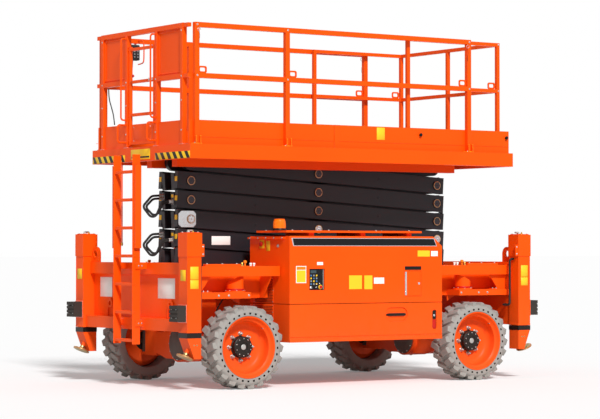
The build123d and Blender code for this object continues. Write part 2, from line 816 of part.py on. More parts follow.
# side cabinets: a fixed tray with its inner wall, and a hood that lifts about pins along its inner edge
hood_hinge_y = cabinet_inner_y + 10
hood_hinge_z = cabinet_top_z - 10
hood_pin_radius = 5.0
hinge_places = (-650.0, 0.0, 600.0)
hinge_half = 30.0
lid_inner_y = cabinet_inner_y + 165
lid_z = cabinet_top_z + 35
lid_sheet = 22.0
lid_end_x = 720.0
grille_rows = 8
grille_pitch = 30.0
for side, word in ((-1, "right"), (1, "left")):
    x = (-cabinet_half_length, cabinet_half_length)
    hollow_x = (x[0] + cabinet_sheet, x[1] - cabinet_sheet)
    pocket = both(side, cabinet_outer_y - pocket_depth, cabinet_outer_y)
    with BuildPart() as tray:
        block(x, both(side, cabinet_inner_y, cabinet_outer_y), (cabinet_bottom_z, cabinet_seam_z - hood_gap))
        inside = both(side, cabinet_inner_y + cabinet_sheet, cabinet_outer_y - cabinet_sheet)
        block(hollow_x, inside, (cabinet_bottom_z + cabinet_sheet, cabinet_seam_z), Mode.SUBTRACT)
        lip = both(side, cabinet_outer_y - 3, cabinet_outer_y + 4)
        block(x, lip, (cabinet_bottom_z, cabinet_bottom_z + 30))
        wall = both(side, cabinet_inner_y, cabinet_inner_y + cabinet_sheet)
        wall_x = (hollow_x[0] + 12, hollow_x[1] - corner_cut_x)
        block(wall_x, wall, (cabinet_seam_z - hood_gap, cabinet_top_z - cabinet_sheet - 20))
        for place in hinge_places:
            limits = (place - hinge_half + hood_gap, place + hinge_half - hood_gap)
            block(limits, wall, (cabinet_top_z - cabinet_sheet - 20, cabinet_top_z - 2))
            with BuildSketch(Plane.YZ.offset(place - 2 * hinge_half)) as pin:
                with Locations((side * hood_hinge_y, hood_hinge_z)):
                    Circle(hood_pin_radius)
            extrude(pin.sketch, amount=4 * hinge_half)
        with BuildSketch(Plane.XZ.offset(-pocket[0])) as recess:
            with Locations((handle_x, handle_z)):
                SlotOverall(handle_width, handle_height)
            with Locations((latch_x, handle_z - 60)):
                SlotOverall(latch_height, latch_width, rotation=90)
        extrude(recess.sketch, amount=-pocket_depth, mode=Mode.SUBTRACT)
        with BuildSketch(Plane.XZ.offset(-pocket[0])) as grip:
            with Locations((handle_x, handle_z)):
                SlotOverall(handle_width * 0.7, handle_height * 0.25)
        extrude(grip.sketch, amount=-pocket_depth)
        rib_z = cabinet_bottom_z + 46
        groove = both(side, cabinet_outer_y - 4, cabinet_outer_y)
        block(x, groove, (rib_z, rib_z + 6), Mode.SUBTRACT)
    keep(tray, "cabinet_tray_" + word)

    with BuildPart() as hood:
        with BuildSketch(Plane.XZ.offset(-side * cabinet_inner_y)) as face:
            with BuildLine():
                Polyline(
                    (x[0], cabinet_seam_z),
                    (x[1], cabinet_seam_z),
                    (x[1], cabinet_top_z - corner_cut_z),
                    (x[1] - corner_cut_x, cabinet_top_z),
                    (x[0], cabinet_top_z),
                    close=True,
                )
            make_face()
        extrude(face.sketch, amount=-side * (cabinet_outer_y - cabinet_inner_y))
        with BuildSketch(Plane.XZ.offset(-side * cabinet_inner_y)) as hollow:
            with BuildLine():
                Polyline(
                    (hollow_x[0], cabinet_seam_z),
                    (hollow_x[1], cabinet_seam_z),
                    (hollow_x[1], cabinet_top_z - corner_cut_z - 8),
                    (x[1] - corner_cut_x - 8, cabinet_top_z - cabinet_sheet),
                    (hollow_x[0], cabinet_top_z - cabinet_sheet),
                    close=True,
                )
            make_face()
        depth = cabinet_outer_y - cabinet_inner_y - cabinet_sheet
        extrude(hollow.sketch, amount=-side * depth, mode=Mode.SUBTRACT)
        edge = both(side, cabinet_inner_y, cabinet_inner_y + cabinet_sheet + hood_gap)
        roof = (cabinet_top_z - cabinet_sheet, cabinet_top_z)
        for place in hinge_places:
            block((place - hinge_half, place + hinge_half), edge, roof, Mode.SUBTRACT)
        with BuildSketch(Plane.YZ.offset(x[0] + 200)) as bore:
            with Locations((side * hood_hinge_y, hood_hinge_z)):
                Circle(hood_pin_radius + pin_fit)
        extrude(bore.sketch, amount=x[1] - x[0] - 400, mode=Mode.SUBTRACT)
        lid_y = both(side, lid_inner_y, cabinet_outer_y - 20)
        block((x[0] - 27, lid_end_x), lid_y, (lid_z, lid_z + lid_sheet))
        for stay in hinge_places:
            stay_y = both(side, lid_inner_y + 60, cabinet_outer_y - 80)
            block((stay - hinge_half, stay + hinge_half), stay_y, (cabinet_top_z - 5, lid_z))
        canopy_y = both(side, cabinet_inner_y, cabinet_outer_y - 80)
        block((x[0] - canopy_reach, x[0]), canopy_y, (cabinet_top_z - 28, cabinet_top_z - 10))
        for row in range(grille_rows):
            z = hood_grille_z + row * grille_pitch
            slit_y = both(side, cabinet_inner_y + 80, cabinet_inner_y + 430)
            for end in (-1, 1):
                slit_x = both(end, cabinet_half_length - cabinet_sheet, cabinet_half_length)
                block(slit_x, slit_y, (z, z + grille_slit), Mode.SUBTRACT)
        if side < 0:
            block(panel_x, pocket, panel_z, Mode.SUBTRACT)
            block((flap_x[0] - 4, flap_x[1] + 4), pocket, (flap_z[0] - 4, flap_z[1] + 4), Mode.SUBTRACT)
            block(flap_x, pocket, flap_z)
            with BuildSketch(Plane((beacon_x, beacon_y, lid_z + lid_sheet))) as foot:
                Circle(beacon_radius + 8)
            extrude(foot.sketch, amount=18)
            with BuildSketch(Plane((beacon_x, beacon_y, lid_z + lid_sheet))) as lens:
                Circle(beacon_radius)
            extrude(lens.sketch, amount=beacon_height, taper=3)
    keep(hood, "hood_" + word)

with BuildPart() as engine_block:
    block((-600, 450), (500, 1060), (cabinet_bottom_z + cabinet_sheet, 1280))
keep(engine_block, "engine_block")
with BuildPart() as tank_block:
    block((-500, 600), (-1060, -500), (cabinet_bottom_z + cabinet_sheet, 1180))
keep(tank_block, "tank_block")

# platform
deck_edge_x = deck_half_length - skirt_wall
deck_edge_y = deck_half_width - skirt_wall
floor_bottom_z = skirt_top_z - floor_thickness
deck_rail_top_z = level_z(levels) + track_gap / 2 + rail_wall
deck_track_reach = track_end_x + 60
with BuildPart() as deck_rails:
    long_rail(level_z(levels), -deck_track_reach, deck_track_reach, left_pin_x)
keep(deck_rails, "deck_rails")

with BuildPart() as deck_skirt:
    for side in (-1, 1):
        y = both(side, deck_edge_y, deck_half_width)
        block((-deck_half_length, deck_half_length), y, (skirt_bottom_z, skirt_top_z))
    for end in (-1, 1):
        x = both(end, deck_edge_x, deck_half_length)
        block(x, (-deck_edge_y, deck_edge_y), (skirt_bottom_z, skirt_top_z))
keep(deck_skirt, "deck_skirt")

deck_rib_places = (-1500.0, -500.0, 500.0, 1380.0)
deck_rib_half = 25.0
deck_rib_depth = 20.0
with BuildPart() as deck:
    block((-deck_edge_x, deck_edge_x), (-deck_edge_y, deck_edge_y), (floor_bottom_z, skirt_top_z))
    for x in deck_rib_places:
        limits = (x - deck_rib_half, x + deck_rib_half)
        block(limits, (-rail_inner_y, rail_inner_y), (floor_bottom_z - deck_rib_depth, floor_bottom_z))
        for side in (-1, 1):
            block(limits, both(side, rail_inner_y, deck_edge_y), (deck_rail_top_z, floor_bottom_z))
keep(deck, "deck")

post_half = rail_tube / 2


def upright(x, y, low, high, half=post_half):
    block((x - half, x + half), (y - half, y + half), (low, high))


def rail_along(x, y, z, half=post_half):
    block(x, (y - half, y + half), (z - half, z + half))


def lanyard_loop(x, y, rail_half=post_half):
    """Anchor loop welded on top of the mid rail."""
    low = mid_rail_z + rail_half
    with BuildSketch(Plane.XZ.offset(-y - loop_thickness / 2)) as loop:
        with Locations((x, low + loop_height / 2)):
            RectangleRounded(loop_width, loop_height, 20)
        with Locations((x, low + loop_height / 2)):
            RectangleRounded(loop_width - 30, loop_height - 34, 12, mode=Mode.SUBTRACT)
    extrude(loop.sketch, amount=loop_thickness)


def grab_bar(y, low, high, reach):
    """Bent bar standing out from the face of a gate post."""
    face = -end_rail_x - post_half
    route = ((face, y, low), (face - reach, y, low), (face - reach, y, high), (face, y, high))
    with BuildLine() as path:
        FilletPolyline(*route, radius=grab_bend)
    with BuildSketch(Plane(route[0], z_dir=(-1, 0, 0))) as section:
        Circle(grab_radius)
    sweep(section.sketch, path=path.line)


with BuildPart() as toe_boards:
    for side in (-1, 1):
        y = both(side, rail_plane_y - post_half - toe_thickness, rail_plane_y - post_half)
        block((-deck_half_length + 30, deck_half_length), y, (toe_bottom_z, toe_top_z))
        block((-deck_half_length + 30, deck_half_length), y, (skirt_top_z, toe_bottom_z))
        y = both(side, rail_plane_y - post_half, rail_plane_y - post_half + 8)
        block((-274, -204), y, (skirt_top_z, toe_top_z))
keep(toe_boards, "toe_boards")

for side, word in ((-1, "right"), (1, "left")):
    with BuildPart() as guard:
        y = side * rail_plane_y
        for x in (side_guard_start_x, -884, main_rail_end_x):
            upright(x, y, skirt_top_z, top_rail_z + post_half)
        for z in (mid_rail_z, top_rail_z):
            rail_along((side_guard_start_x, main_rail_end_x), y, z)
        for x in (side_guard_start_x + 75, -810, main_rail_end_x - 78):
            lanyard_loop(x, y)
    keep(guard, "side_guard_" + word)

gate_post_y = 305.0
gate_gap = 14.0
gate_tube = 19.0
gate_axis_y = gate_post_y - post_half - gate_gap - gate_tube
gate_low_z = skirt_top_z + 30
gate_high_z = 3500.0
hinge_plate = 10.0
hinge_pin_radius = 8.0
corner_post_y = 815.0
with BuildPart() as end_guard:
    for side in (-1, 1):
        for y in (gate_post_y, corner_post_y):
            upright(-end_rail_x, side * y, skirt_top_z, top_rail_z + post_half)
        bay = both(side, gate_post_y, corner_post_y)
        for z in (mid_rail_z, top_rail_z):
            block((-end_rail_x - post_half, -end_rail_x + post_half), bay, (z - post_half, z + post_half))
        block((-end_rail_x - 3, -end_rail_x + 3), bay, (mid_rail_z, top_rail_z))
        block((-end_rail_x - 10, -end_rail_x + 10), bay, (skirt_top_z, toe_top_z))
        y = both(side, corner_post_y, rail_plane_y - post_half)
        for z in (mid_rail_z, top_rail_z):
            block((-end_rail_x - 20, -end_rail_x + 20), y, (z - 20, z + 20))
    x = (-end_rail_x - post_half, -end_rail_x + post_half)
    block(x, (-gate_post_y, gate_post_y), (top_rail_z - post_half, top_rail_z + post_half))
    for side in (-1, 1):
        for low, high, reach in ((2515, 2700, 100), (2750, 3600, 60)):
            grab_bar(side * gate_post_y, low, high, reach)
    for z in (gate_low_z - 0.3 - hinge_plate, gate_high_z + 0.3):
        y = (gate_axis_y - 14, gate_post_y - post_half)
        block((-end_rail_x - 14, -end_rail_x + 14), y, (z, z + hinge_plate))
    with BuildSketch(Plane.XY.offset(gate_low_z - 0.3)) as pins:
        with Locations((-end_rail_x, gate_axis_y)):
            Circle(hinge_pin_radius)
    extrude(pins.sketch, amount=40)
    with BuildSketch(Plane.XY.offset(gate_high_z - 40)) as pins:
        with Locations((-end_rail_x, gate_axis_y)):
            Circle(hinge_pin_radius)
    extrude(pins.sketch, amount=40.3)
keep(end_guard, "end_guard")

with BuildPart() as gate:
    for side in (-1, 1):
        with BuildSketch(Plane.XY.offset(gate_low_z)) as stile:
            with Locations((-end_rail_x, side * gate_axis_y)):
                Circle(gate_tube)
        extrude(stile.sketch, amount=gate_high_z - gate_low_z)
    for z in (gate_low_z + gate_tube, 2800, mid_rail_z, gate_high_z - gate_tube):
        reach = gate_axis_y - gate_tube + 4
        block((-end_rail_x - 15, -end_rail_x + 15), (-reach, reach), (z - 15, z + 15))
    reach = gate_axis_y - gate_tube + 4
    block((-end_rail_x - 6, -end_rail_x + 6), (-reach, reach), (gate_low_z + 10, toe_top_z))
    with BuildSketch(Plane.XY.offset(gate_low_z)) as sockets:
        with Locations((-end_rail_x, gate_axis_y)):
            Circle(hinge_pin_radius + pin_fit)
    extrude(sockets.sketch, amount=gate_high_z - gate_low_z, mode=Mode.SUBTRACT)
keep(gate, "gate")

extension_deck_z = skirt_top_z + 12
with BuildPart() as extension_deck:
    half = extension_rail_y + extension_tube / 2
    block((650, deck_half_length - 15), (-half, half), (extension_deck_z, extension_deck_z + 30))
    for side in (-1, 1):
        block((660, deck_half_length - 60), both(side, 780, 820), (skirt_top_z, extension_deck_z))
    x = (deck_half_length - 35, deck_half_length - 15)
    block(x, (-half, half), (extension_deck_z + 30, toe_top_z))
keep(extension_deck, "extension_deck")

extension_half = extension_tube / 2
extension_end_x = 1945.0
with BuildPart() as extension_guard:
    base = extension_deck_z + 30
    for side in (-1, 1):
        y = side * extension_rail_y
        for x in (720, extension_end_x):
            upright(x, y, base, top_rail_z + extension_half, extension_half)
        for z in (mid_rail_z, top_rail_z):
            rail_along((720, extension_end_x), y, z, extension_half)
        lanyard_loop(extension_end_x - 85, y, extension_half)
    x = (extension_end_x - extension_half, extension_end_x + extension_half)
    for z in (mid_rail_z, top_rail_z):
        block(x, (-extension_rail_y, extension_rail_y), (z - extension_half, z + extension_half))
    upright(extension_end_x, 0, base, top_rail_z, extension_half)
keep(extension_guard, "extension_guard")
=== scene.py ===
import math
import bpy
import bmesh
from itertools import product
from mathutils import Matrix, Vector


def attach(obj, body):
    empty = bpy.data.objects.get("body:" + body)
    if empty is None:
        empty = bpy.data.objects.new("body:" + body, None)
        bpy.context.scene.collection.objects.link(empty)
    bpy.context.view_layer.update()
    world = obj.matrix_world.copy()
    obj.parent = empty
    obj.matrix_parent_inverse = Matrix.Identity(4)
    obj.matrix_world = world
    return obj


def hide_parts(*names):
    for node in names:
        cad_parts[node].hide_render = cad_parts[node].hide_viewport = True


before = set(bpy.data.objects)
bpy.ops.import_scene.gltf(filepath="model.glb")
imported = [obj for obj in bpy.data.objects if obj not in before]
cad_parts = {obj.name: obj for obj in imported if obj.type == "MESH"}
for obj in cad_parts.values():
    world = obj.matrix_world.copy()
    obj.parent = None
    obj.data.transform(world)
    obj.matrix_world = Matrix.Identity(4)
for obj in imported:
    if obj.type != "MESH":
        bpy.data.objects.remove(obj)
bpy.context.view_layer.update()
scene = bpy.context.scene
print("frame loaded:", len(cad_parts), "nodes")


def addNode(tree, kind, inputs=None, **settings):
    # inputs: socket -> plain value, or an output to link from
    made = tree.nodes.new(kind)
    for key, value in settings.items():
        setattr(made, key, value)
    for socket, value in (inputs or {}).items():
        target = made.inputs[socket]
        if isinstance(value, bpy.types.NodeSocket):
            tree.links.new(value, target)
        else:
            target.default_value = value
    return made


def addMath(tree, operation, first, second):
    return addNode(tree, "ShaderNodeMath", {0: first, 1: second}, operation=operation).outputs["Value"]


def addMix(tree, factor, first, second):
    inputs = {"Factor": factor, "A": first, "B": second}
    return addNode(tree, "ShaderNodeMix", inputs, data_type="RGBA").outputs["Result"]


def addNoise(tree, where, scale, detail, roughness=0.5):
    inputs = {"Vector": where, "Scale": scale, "Detail": detail, "Roughness": roughness}
    return addNode(tree, "ShaderNodeTexNoise", inputs).outputs["Fac"]


def addRange(tree, value, source, target):
    inputs = {"Value": value, "From Min": source[0], "From Max": source[1], "To Min": target[0],
              "To Max": target[1]}
    return addNode(tree, "ShaderNodeMapRange", inputs).outputs["Result"]


def toLinear(red, green, blue):
    parts = [value / 255 for value in (red, green, blue)]
    return tuple(p / 12.92 if p < 0.04045 else ((p + 0.055) / 1.055) ** 2.4 for p in parts) + (1.0,)


def shade(colour, factor):
    return tuple(min(1.0, part * factor) for part in colour[:3]) + (1.0,)


# what a coat has unless its own look says otherwise
commonLook = {"clouds": 1.4, "dark": 0.9, "light": 1.08, "edge": 0.004, "peel": 0.06, "wear": 0.35,
              "dust": 0.22, "under": (206, 150, 110), "soil": (150, 120, 96), "specular": 0.4,
              "metallic": 0.0}


def paintedSteel(name, ownLook):
    # sprayed coat: faint clouds, orange peel, dust toward the ground and rubbed edges
    look = {**commonLook, **ownLook}
    material = bpy.data.materials.new(name)
    material.use_nodes = True
    tree = material.node_tree
    tree.nodes.clear()
    where = addNode(tree, "ShaderNodeTexCoord").outputs["Object"]
    colour = toLinear(*look["colour"])
    clouds = addNoise(tree, where, look["clouds"], 4.0)
    tint = addMix(tree, clouds, shade(colour, look["dark"]), shade(colour, look["light"]))
    rounded = addNode(tree, "ShaderNodeBevel", {"Radius": look["edge"]}, samples=4).outputs["Normal"]
    flat = addNode(tree, "ShaderNodeNewGeometry").outputs["Normal"]
    same = addNode(tree, "ShaderNodeVectorMath", {0: rounded, 1: flat}, operation="DOT_PRODUCT")
    wear = addRange(tree, same.outputs["Value"], (0.985, 0.8), (0.0, look["wear"]))
    patches = addRange(tree, addNoise(tree, where, 26.0, 6.0), (0.45, 0.7), (0.0, 1.0))
    worn = addMix(tree, addMath(tree, "MULTIPLY", wear, patches), tint, toLinear(*look["under"]))
    height = addNode(tree, "ShaderNodeSeparateXYZ", {"Vector": where}).outputs["Z"]
    low = addRange(tree, height, (0.1, 1.1), (look["dust"], 0.0))
    specks = addNoise(tree, where, 7.0, 9.0, 0.7)
    final = addMix(tree, addMath(tree, "MULTIPLY", low, specks), worn, toLinear(*look["soil"]))
    gloss = addRange(tree, specks, (0.0, 1.0), (look["roughness"] - 0.06, look["roughness"] + 0.1))
    bumps = {"Height": addNoise(tree, where, 210.0, 2.0), "Normal": rounded, "Strength": look["peel"],
             "Distance": 0.001}
    normal = addNode(tree, "ShaderNodeBump", bumps).outputs["Normal"]
    coat = {"Base Color": final, "Roughness": gloss, "Normal": normal,
            "Specular IOR Level": look["specular"], "Metallic": look["metallic"]}
    shader = addNode(tree, "ShaderNodeBsdfPrincipled", coat)
    addNode(tree, "ShaderNodeOutputMaterial", {"Surface": shader.outputs["BSDF"]})
    return material


coats = {
    "orange": ("orangePaint", {"colour": (255, 84, 8), "roughness": 0.36, "specular": 0.1}),
    "charcoal": ("charcoalPaint", {"colour": (40, 36, 40), "roughness": 0.36, "specular": 0.25, "wear": 0.25,
                                   "under": (120, 118, 120), "dust": 0.0, "dark": 0.85, "light": 1.1}),
    "black": ("blackPaint", {"colour": (34, 34, 35), "roughness": 0.5, "under": (90, 88, 86), "dust": 0.3}),
    "zinc": ("zincPlate", {"colour": (190, 190, 186), "roughness": 0.34, "metallic": 0.9, "clouds": 9.0,
                           "under": (140, 138, 132), "dust": 0.1}),
    "chrome": ("chromeRod", {"colour": (214, 216, 220), "roughness": 0.14, "metallic": 1.0, "peel": 0.01,
                             "dust": 0.0, "wear": 0.0}),
    "cast": ("castIron", {"colour": (62, 60, 58), "roughness": 0.6, "peel": 0.5, "dust": 0.5}),
    "rubber": ("blackRubber", {"colour": (40, 39, 38), "roughness": 0.72, "specular": 0.25, "peel": 0.25,
                               "wear": 0.1, "dust": 0.3}),
    "tyre": ("paleTyre", {"colour": (158, 155, 150), "roughness": 0.8, "specular": 0.2, "peel": 0.3,
                          "wear": 0.3, "clouds": 12.0, "dark": 0.8, "light": 1.1, "under": (190, 186, 180)}),
}
finishes = {key: paintedSteel(name, look) for key, (name, look) in coats.items()}

# smaller finishes: colour, roughness, metallic
plainFinishes = {
    "yellow": ((250, 200, 40), 0.45, 0.0), "white": ((246, 246, 240), 0.45, 0.0),
    "red": ((196, 24, 20), 0.35, 0.0), "gloss": ((14, 14, 15), 0.28, 0.0),
    "grey": ((150, 152, 154), 0.4, 0.0), "blue": ((70, 120, 170), 0.4, 0.0),
    "screen": ((60, 78, 84), 0.12, 0.0), "brass": ((206, 168, 84), 0.3, 0.9),
    "brightSteel": ((205, 206, 208), 0.25, 0.95), "darkSteel": ((70, 68, 72), 0.38, 0.6),
    "hubBlack": ((17, 17, 18), 0.4, 0.0), "amberPaint": ((250, 130, 24), 0.4, 0.0),
    "paleRing": ((196, 158, 118), 0.35, 0.3), "yellowZinc": ((168, 152, 104), 0.34, 0.8),
    "amber": ((255, 120, 10), 0.15, 0.0), "shadow": ((16, 14, 13), 0.8, 0.0),
    "floorSteel": ((120, 118, 114), 0.5, 0.6),
}
smallLook = {"wear": 0.15, "dust": 0.12, "specular": 0.2, "peel": 0.05, "clouds": 6.0, "dark": 0.92,
             "light": 1.05}
for name, (colour, roughness, metallic) in plainFinishes.items():
    under = tuple(min(255, part + 24) for part in colour)
    look = {"colour": colour, "roughness": roughness, "metallic": metallic, "under": under, **smallLook}
    finishes[name] = paintedSteel(name + "Finish", look)
print("finishes made")

# node name starts with -> finish
nodeFinishes = (
    ("outer_arm", "charcoal"), ("inner_arm", "charcoal"), ("lift_barrels", "charcoal"),
    ("lift_rods", "chrome"), ("bumpers", "rubber"), ("front_hoses", "rubber"), ("rear_hoses", "rubber"),
    ("post_hoses", "rubber"), ("knuckle", "cast"), ("tyre", "tyre"), ("engine_block", "cast"),
    ("tank_block", "black"), ("", "orange"),
)
for name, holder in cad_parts.items():
    if holder.type != "MESH":
        continue
    finish = next(value for start, value in nodeFinishes if name.startswith(start))
    holder.data.materials.clear()
    holder.data.materials.append(finishes[finish])


# shapes: each call adds one form to a bmesh, in metres, with a material slot number
def addBlock(shape, low, high, slot=0, edge=0.0):
    low, high = zip(*(sorted(pair) for pair in zip(low, high)))
    made = bmesh.ops.create_cube(shape, size=1.0)["verts"]
    for vertex in made:
        vertex.co = [low[i] + (vertex.co[i] + 0.5) * (high[i] - low[i]) for i in range(3)]
    faces = {face for vertex in made for face in vertex.link_faces}
    for face in faces:
        face.material_index = slot
    if edge:
        edges = list({rim for face in faces for rim in face.edges})
        bmesh.ops.bevel(shape, geom=edges, offset=edge, segments=2, profile=0.6, affect="EDGES")


def addTurned(shape, start, along, profile, sides=24, slot=0, close=False):
    # profile: (distance along, radius), turned about the line from start
    start, along = Vector(start), Vector(along).normalized()
    across = along.orthogonal().normalized()
    other = along.cross(across)
    turns = [2 * math.pi * step / sides for step in range(sides)]
    rings = []
    for distance, radius in profile:
        centre = start + along * distance
        if radius < 1e-6:
            rings.append([shape.verts.new(centre)])
        else:
            spokes = [(across * math.cos(turn) + other * math.sin(turn)) * radius for turn in turns]
            rings.append([shape.verts.new(centre + spoke) for spoke in spokes])
    pairs = list(zip(rings, rings[1:]))
    if close:
        pairs.append((rings[-1], rings[0]))
    faces = []
    for near, far in pairs:
        if len(near) == len(far) == 1:
            continue
        for step in range(sides):
            after = (step + 1) % sides
            if len(near) == 1:
                corners = (near[0], far[step], far[after])
            elif len(far) == 1:
                corners = (near[step], near[after], far[0])
            else:
                corners = (near[step], near[after], far[after], far[step])
            face = shape.faces.new(corners)
            face.material_index = slot
            faces.append(face)
    return faces


def addRound(shape, start, along, outline, sides=24, slot=0):
    # a turned outline that starts flat on its axis and ends there, flat or in a point
    last = ((outline[-1][0], 0),) if outline[-1][1] else ()
    addTurned(shape, start, along, ((outline[0][0], 0), *outline, *last), sides, slot)


def addEach(add, shape, xs, ys, zs, *rest):
    # the same form at every crossing of the coordinates
    for place in product(xs, ys, zs):
        add(shape, place, *rest)


def addBar(shape, start, end, radius, sides=12, slot=0):
    length = (Vector(end) - Vector(start)).length
    cut = min(0.2 * radius, 0.2 * length)
    outline = ((0, radius - cut), (cut, radius), (length - cut, radius), (length, radius - cut))
    addRound(shape, start, Vector(end) - Vector(start), outline, sides, slot)


def addBolt(shape, place, along, radius, slot=0, washer=True):
    # hexagon head on a washer
    if washer:
        disc = ((0, 1.5 * radius), (0.22 * radius, 1.5 * radius), (0.3 * radius, 0))
        addRound(shape, place, along, disc, 16, slot)
    head = ((0, radius), (0.8 * radius, radius), (1.05 * radius, 0.82 * radius))
    addRound(shape, place, along, head, 6, slot)


def addPrism(shape, outline, depth, slot=0):
    # outline: corner points in space; depth: how far and which way it is thickened
    near = [shape.verts.new(point) for point in outline]
    far = [shape.verts.new(Vector(point) + Vector(depth)) for point in outline]
    faces = [shape.faces.new(near), shape.faces.new(list(reversed(far)))]
    count = len(outline)
    for step in range(count):
        after = (step + 1) % count
        faces.append(shape.faces.new((near[after], near[step], far[step], far[after])))
    for face in faces:
        face.material_index = slot


def addPipe(shape, points, radius, sides=10, slot=0):
    # a smooth pipe through the points' curve
    curve = bpy.data.curves.new("pipeRoute", "CURVE")
    curve.dimensions = "3D"
    line = curve.splines.new("NURBS")
    line.points.add(len(points) - 1)
    for point, place in zip(line.points, points):
        point.co = (*place, 1.0)
    line.order_u = 3
    line.use_endpoint_u = True
    curve.bevel_depth = radius
    curve.bevel_resolution = max(1, sides // 4)
    curve.use_fill_caps = True
    curve.resolution_u = 8
    holder = bpy.data.objects.new("pipeRoute", curve)
    mesh = bpy.data.meshes.new_from_object(holder)
    before = len(shape.faces)
    shape.from_mesh(mesh)
    shape.faces.ensure_lookup_table()
    for face in shape.faces[before:]:
        face.material_index = slot
    bpy.data.objects.remove(holder)
    bpy.data.curves.remove(curve)
    bpy.data.meshes.remove(mesh)


def around(count, radius, shift=0.0):
    # evenly spaced pairs of offsets on a circle
    turns = [2 * math.pi * (step + shift) / count for step in range(count)]
    return [(radius * math.cos(turn), radius * math.sin(turn)) for turn in turns]


def holderFor(shape, name):
    mesh = bpy.data.meshes.new(name)
    bmesh.ops.recalc_face_normals(shape, faces=shape.faces[:])
    shape.to_mesh(mesh)
    shape.free()
    holder = bpy.data.objects.new(name, mesh)
    scene.collection.objects.link(holder)
    return holder


def finishPiece(holder, body, looks, smooth=38.0):
    for look in looks:
        if finishes[look].name not in holder.data.materials:
            holder.data.materials.append(finishes[look])
    holder.data.shade_smooth()
    holder.data.set_sharp_from_angle(angle=math.radians(smooth))
    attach(holder, body)
    return holder


def makePiece(shape, name, body, looks, smooth=38.0):
    return finishPiece(holderFor(shape, name), body, looks, smooth)


def repeatAt(name, places, unit, look, body, size=1.0, spread=1.0):
    # geometry nodes: copies of a unit mesh at points, each turned by its own stored angles
    inputs = {"Unit": ("NodeSocketObject", unit), "Size": ("NodeSocketFloat", size),
              "Size Spread": ("NodeSocketFloat", spread), "Coat": ("NodeSocketMaterial", finishes[look])}
    points = bpy.data.meshes.new(name)
    points.from_pydata([place for place, turn in places], [], [])
    turns = points.attributes.new("turn", "FLOAT_VECTOR", "POINT")
    for item, (place, turn) in zip(turns.data, places):
        item.vector = turn
    holder = bpy.data.objects.new(name, points)
    scene.collection.objects.link(holder)
    tree = bpy.data.node_groups.new(name + "Nodes", "GeometryNodeTree")
    face = tree.interface
    face.new_socket("Places", in_out="INPUT", socket_type="NodeSocketGeometry")
    sockets = {}
    for label, (kind, value) in inputs.items():
        sockets[label] = face.new_socket(label, in_out="INPUT", socket_type=kind)
    face.new_socket("Result", in_out="OUTPUT", socket_type="NodeSocketGeometry")
    source = addNode(tree, "NodeGroupInput")
    sink = addNode(tree, "NodeGroupOutput")
    part = addNode(tree, "GeometryNodeObjectInfo", {"Object": source.outputs["Unit"]})
    angles = addNode(tree, "GeometryNodeInputNamedAttribute", {"Name": "turn"}, data_type="FLOAT_VECTOR")
    spans = {"Seed": 7, 2: 1.0, 3: source.outputs["Size Spread"]}
    vary = addNode(tree, "FunctionNodeRandomValue", spans, data_type="FLOAT")
    grow = addMath(tree, "MULTIPLY", vary.outputs[1], source.outputs["Size"])
    copies = addNode(tree, "GeometryNodeInstanceOnPoints", {
        "Points": source.outputs["Places"], "Instance": part.outputs["Geometry"],
        "Rotation": angles.outputs["Attribute"], "Scale": grow})
    real = addNode(tree, "GeometryNodeRealizeInstances", {"Geometry": copies.outputs["Instances"]})
    coat = addNode(tree, "GeometryNodeSetMaterial", {
        "Geometry": real.outputs["Geometry"], "Material": source.outputs["Coat"]})
    tree.links.new(coat.outputs["Geometry"], sink.inputs["Result"])
    modifier = holder.modifiers.new("repeat", "NODES")
    modifier.node_group = tree
    for label, (kind, value) in inputs.items():
        modifier[sockets[label].identifier] = value
    bpy.context.view_layer.update()
    mesh = bpy.data.meshes.new_from_object(holder.evaluated_get(bpy.context.evaluated_depsgraph_get()))
    holder.modifiers.remove(modifier)
    holder.data = mesh
    return finishPiece(holder, body, (look,))


def unitFrom(shape, name):
    holder = holderFor(shape, name)
    scene.collection.objects.unlink(holder)
    return holder


corners = {"rear_right": (-1, -1), "rear_left": (-1, 1), "front_right": (1, -1), "front_left": (1, 1)}
sides = {"right": -1, "left": 1}
ends = {"rear": -1, "front": 1}
# directions: up, out of the right side, out of the rear end
up, toward, backward = (0, 0, 1), (0, -1, 0), (-1, 0, 0)
origin = (0, 0, 0)

# wheels: tyre with slanted lugs and drainage holes whose insides are painted shade, dished rim, hub and nuts
wheel = {"track": 1.15, "base": 1.459, "height": 0.42, "radius": 0.4185, "width": 0.3, "sides": 96,
         "lugs": 22, "lugLength": 0.13, "lugWidth": 0.064, "slant": 24.0, "lugOffset": 0.072, "inset": 0.003,
         "holes": 32, "holeDepth": 0.016, "nuts": 8, "nutCircle": 0.136, "nutSeat": 0.1725,
         "capBolts": 10, "capBoltCircle": 0.086}
carcassProfile = (
    (0.022, 0.3135), (0.004, 0.315), (0.0, 0.321), (0.0, 0.331), (0.0, 0.349), (0.0, 0.356), (0.004, 0.37),
    (0.016, 0.384), (0.034, 0.392), (0.06, 0.394), (0.24, 0.394), (0.266, 0.392), (0.284, 0.384),
    (0.296, 0.37), (0.3, 0.356), (0.3, 0.3), (0.296, 0.289), (0.285, 0.2815), (0.06, 0.2815), (0.046, 0.295),
)
rimProfile = (
    (0.004, 0.312), (0.004, 0.302), (0.012, 0.296), (0.03, 0.289), (0.042, 0.276), (0.05, 0.265),
    (0.11, 0.262), (0.128, 0.258), (0.146, 0.246), (0.16, 0.232), (0.168, 0.216), (0.172, 0.196),
    (0.173, 0.165), (0.173, 0.1), (0.186, 0.1), (0.186, 0.222), (0.17, 0.246), (0.135, 0.274),
    (0.05, 0.278), (0.034, 0.303), (0.022, 0.312),
)
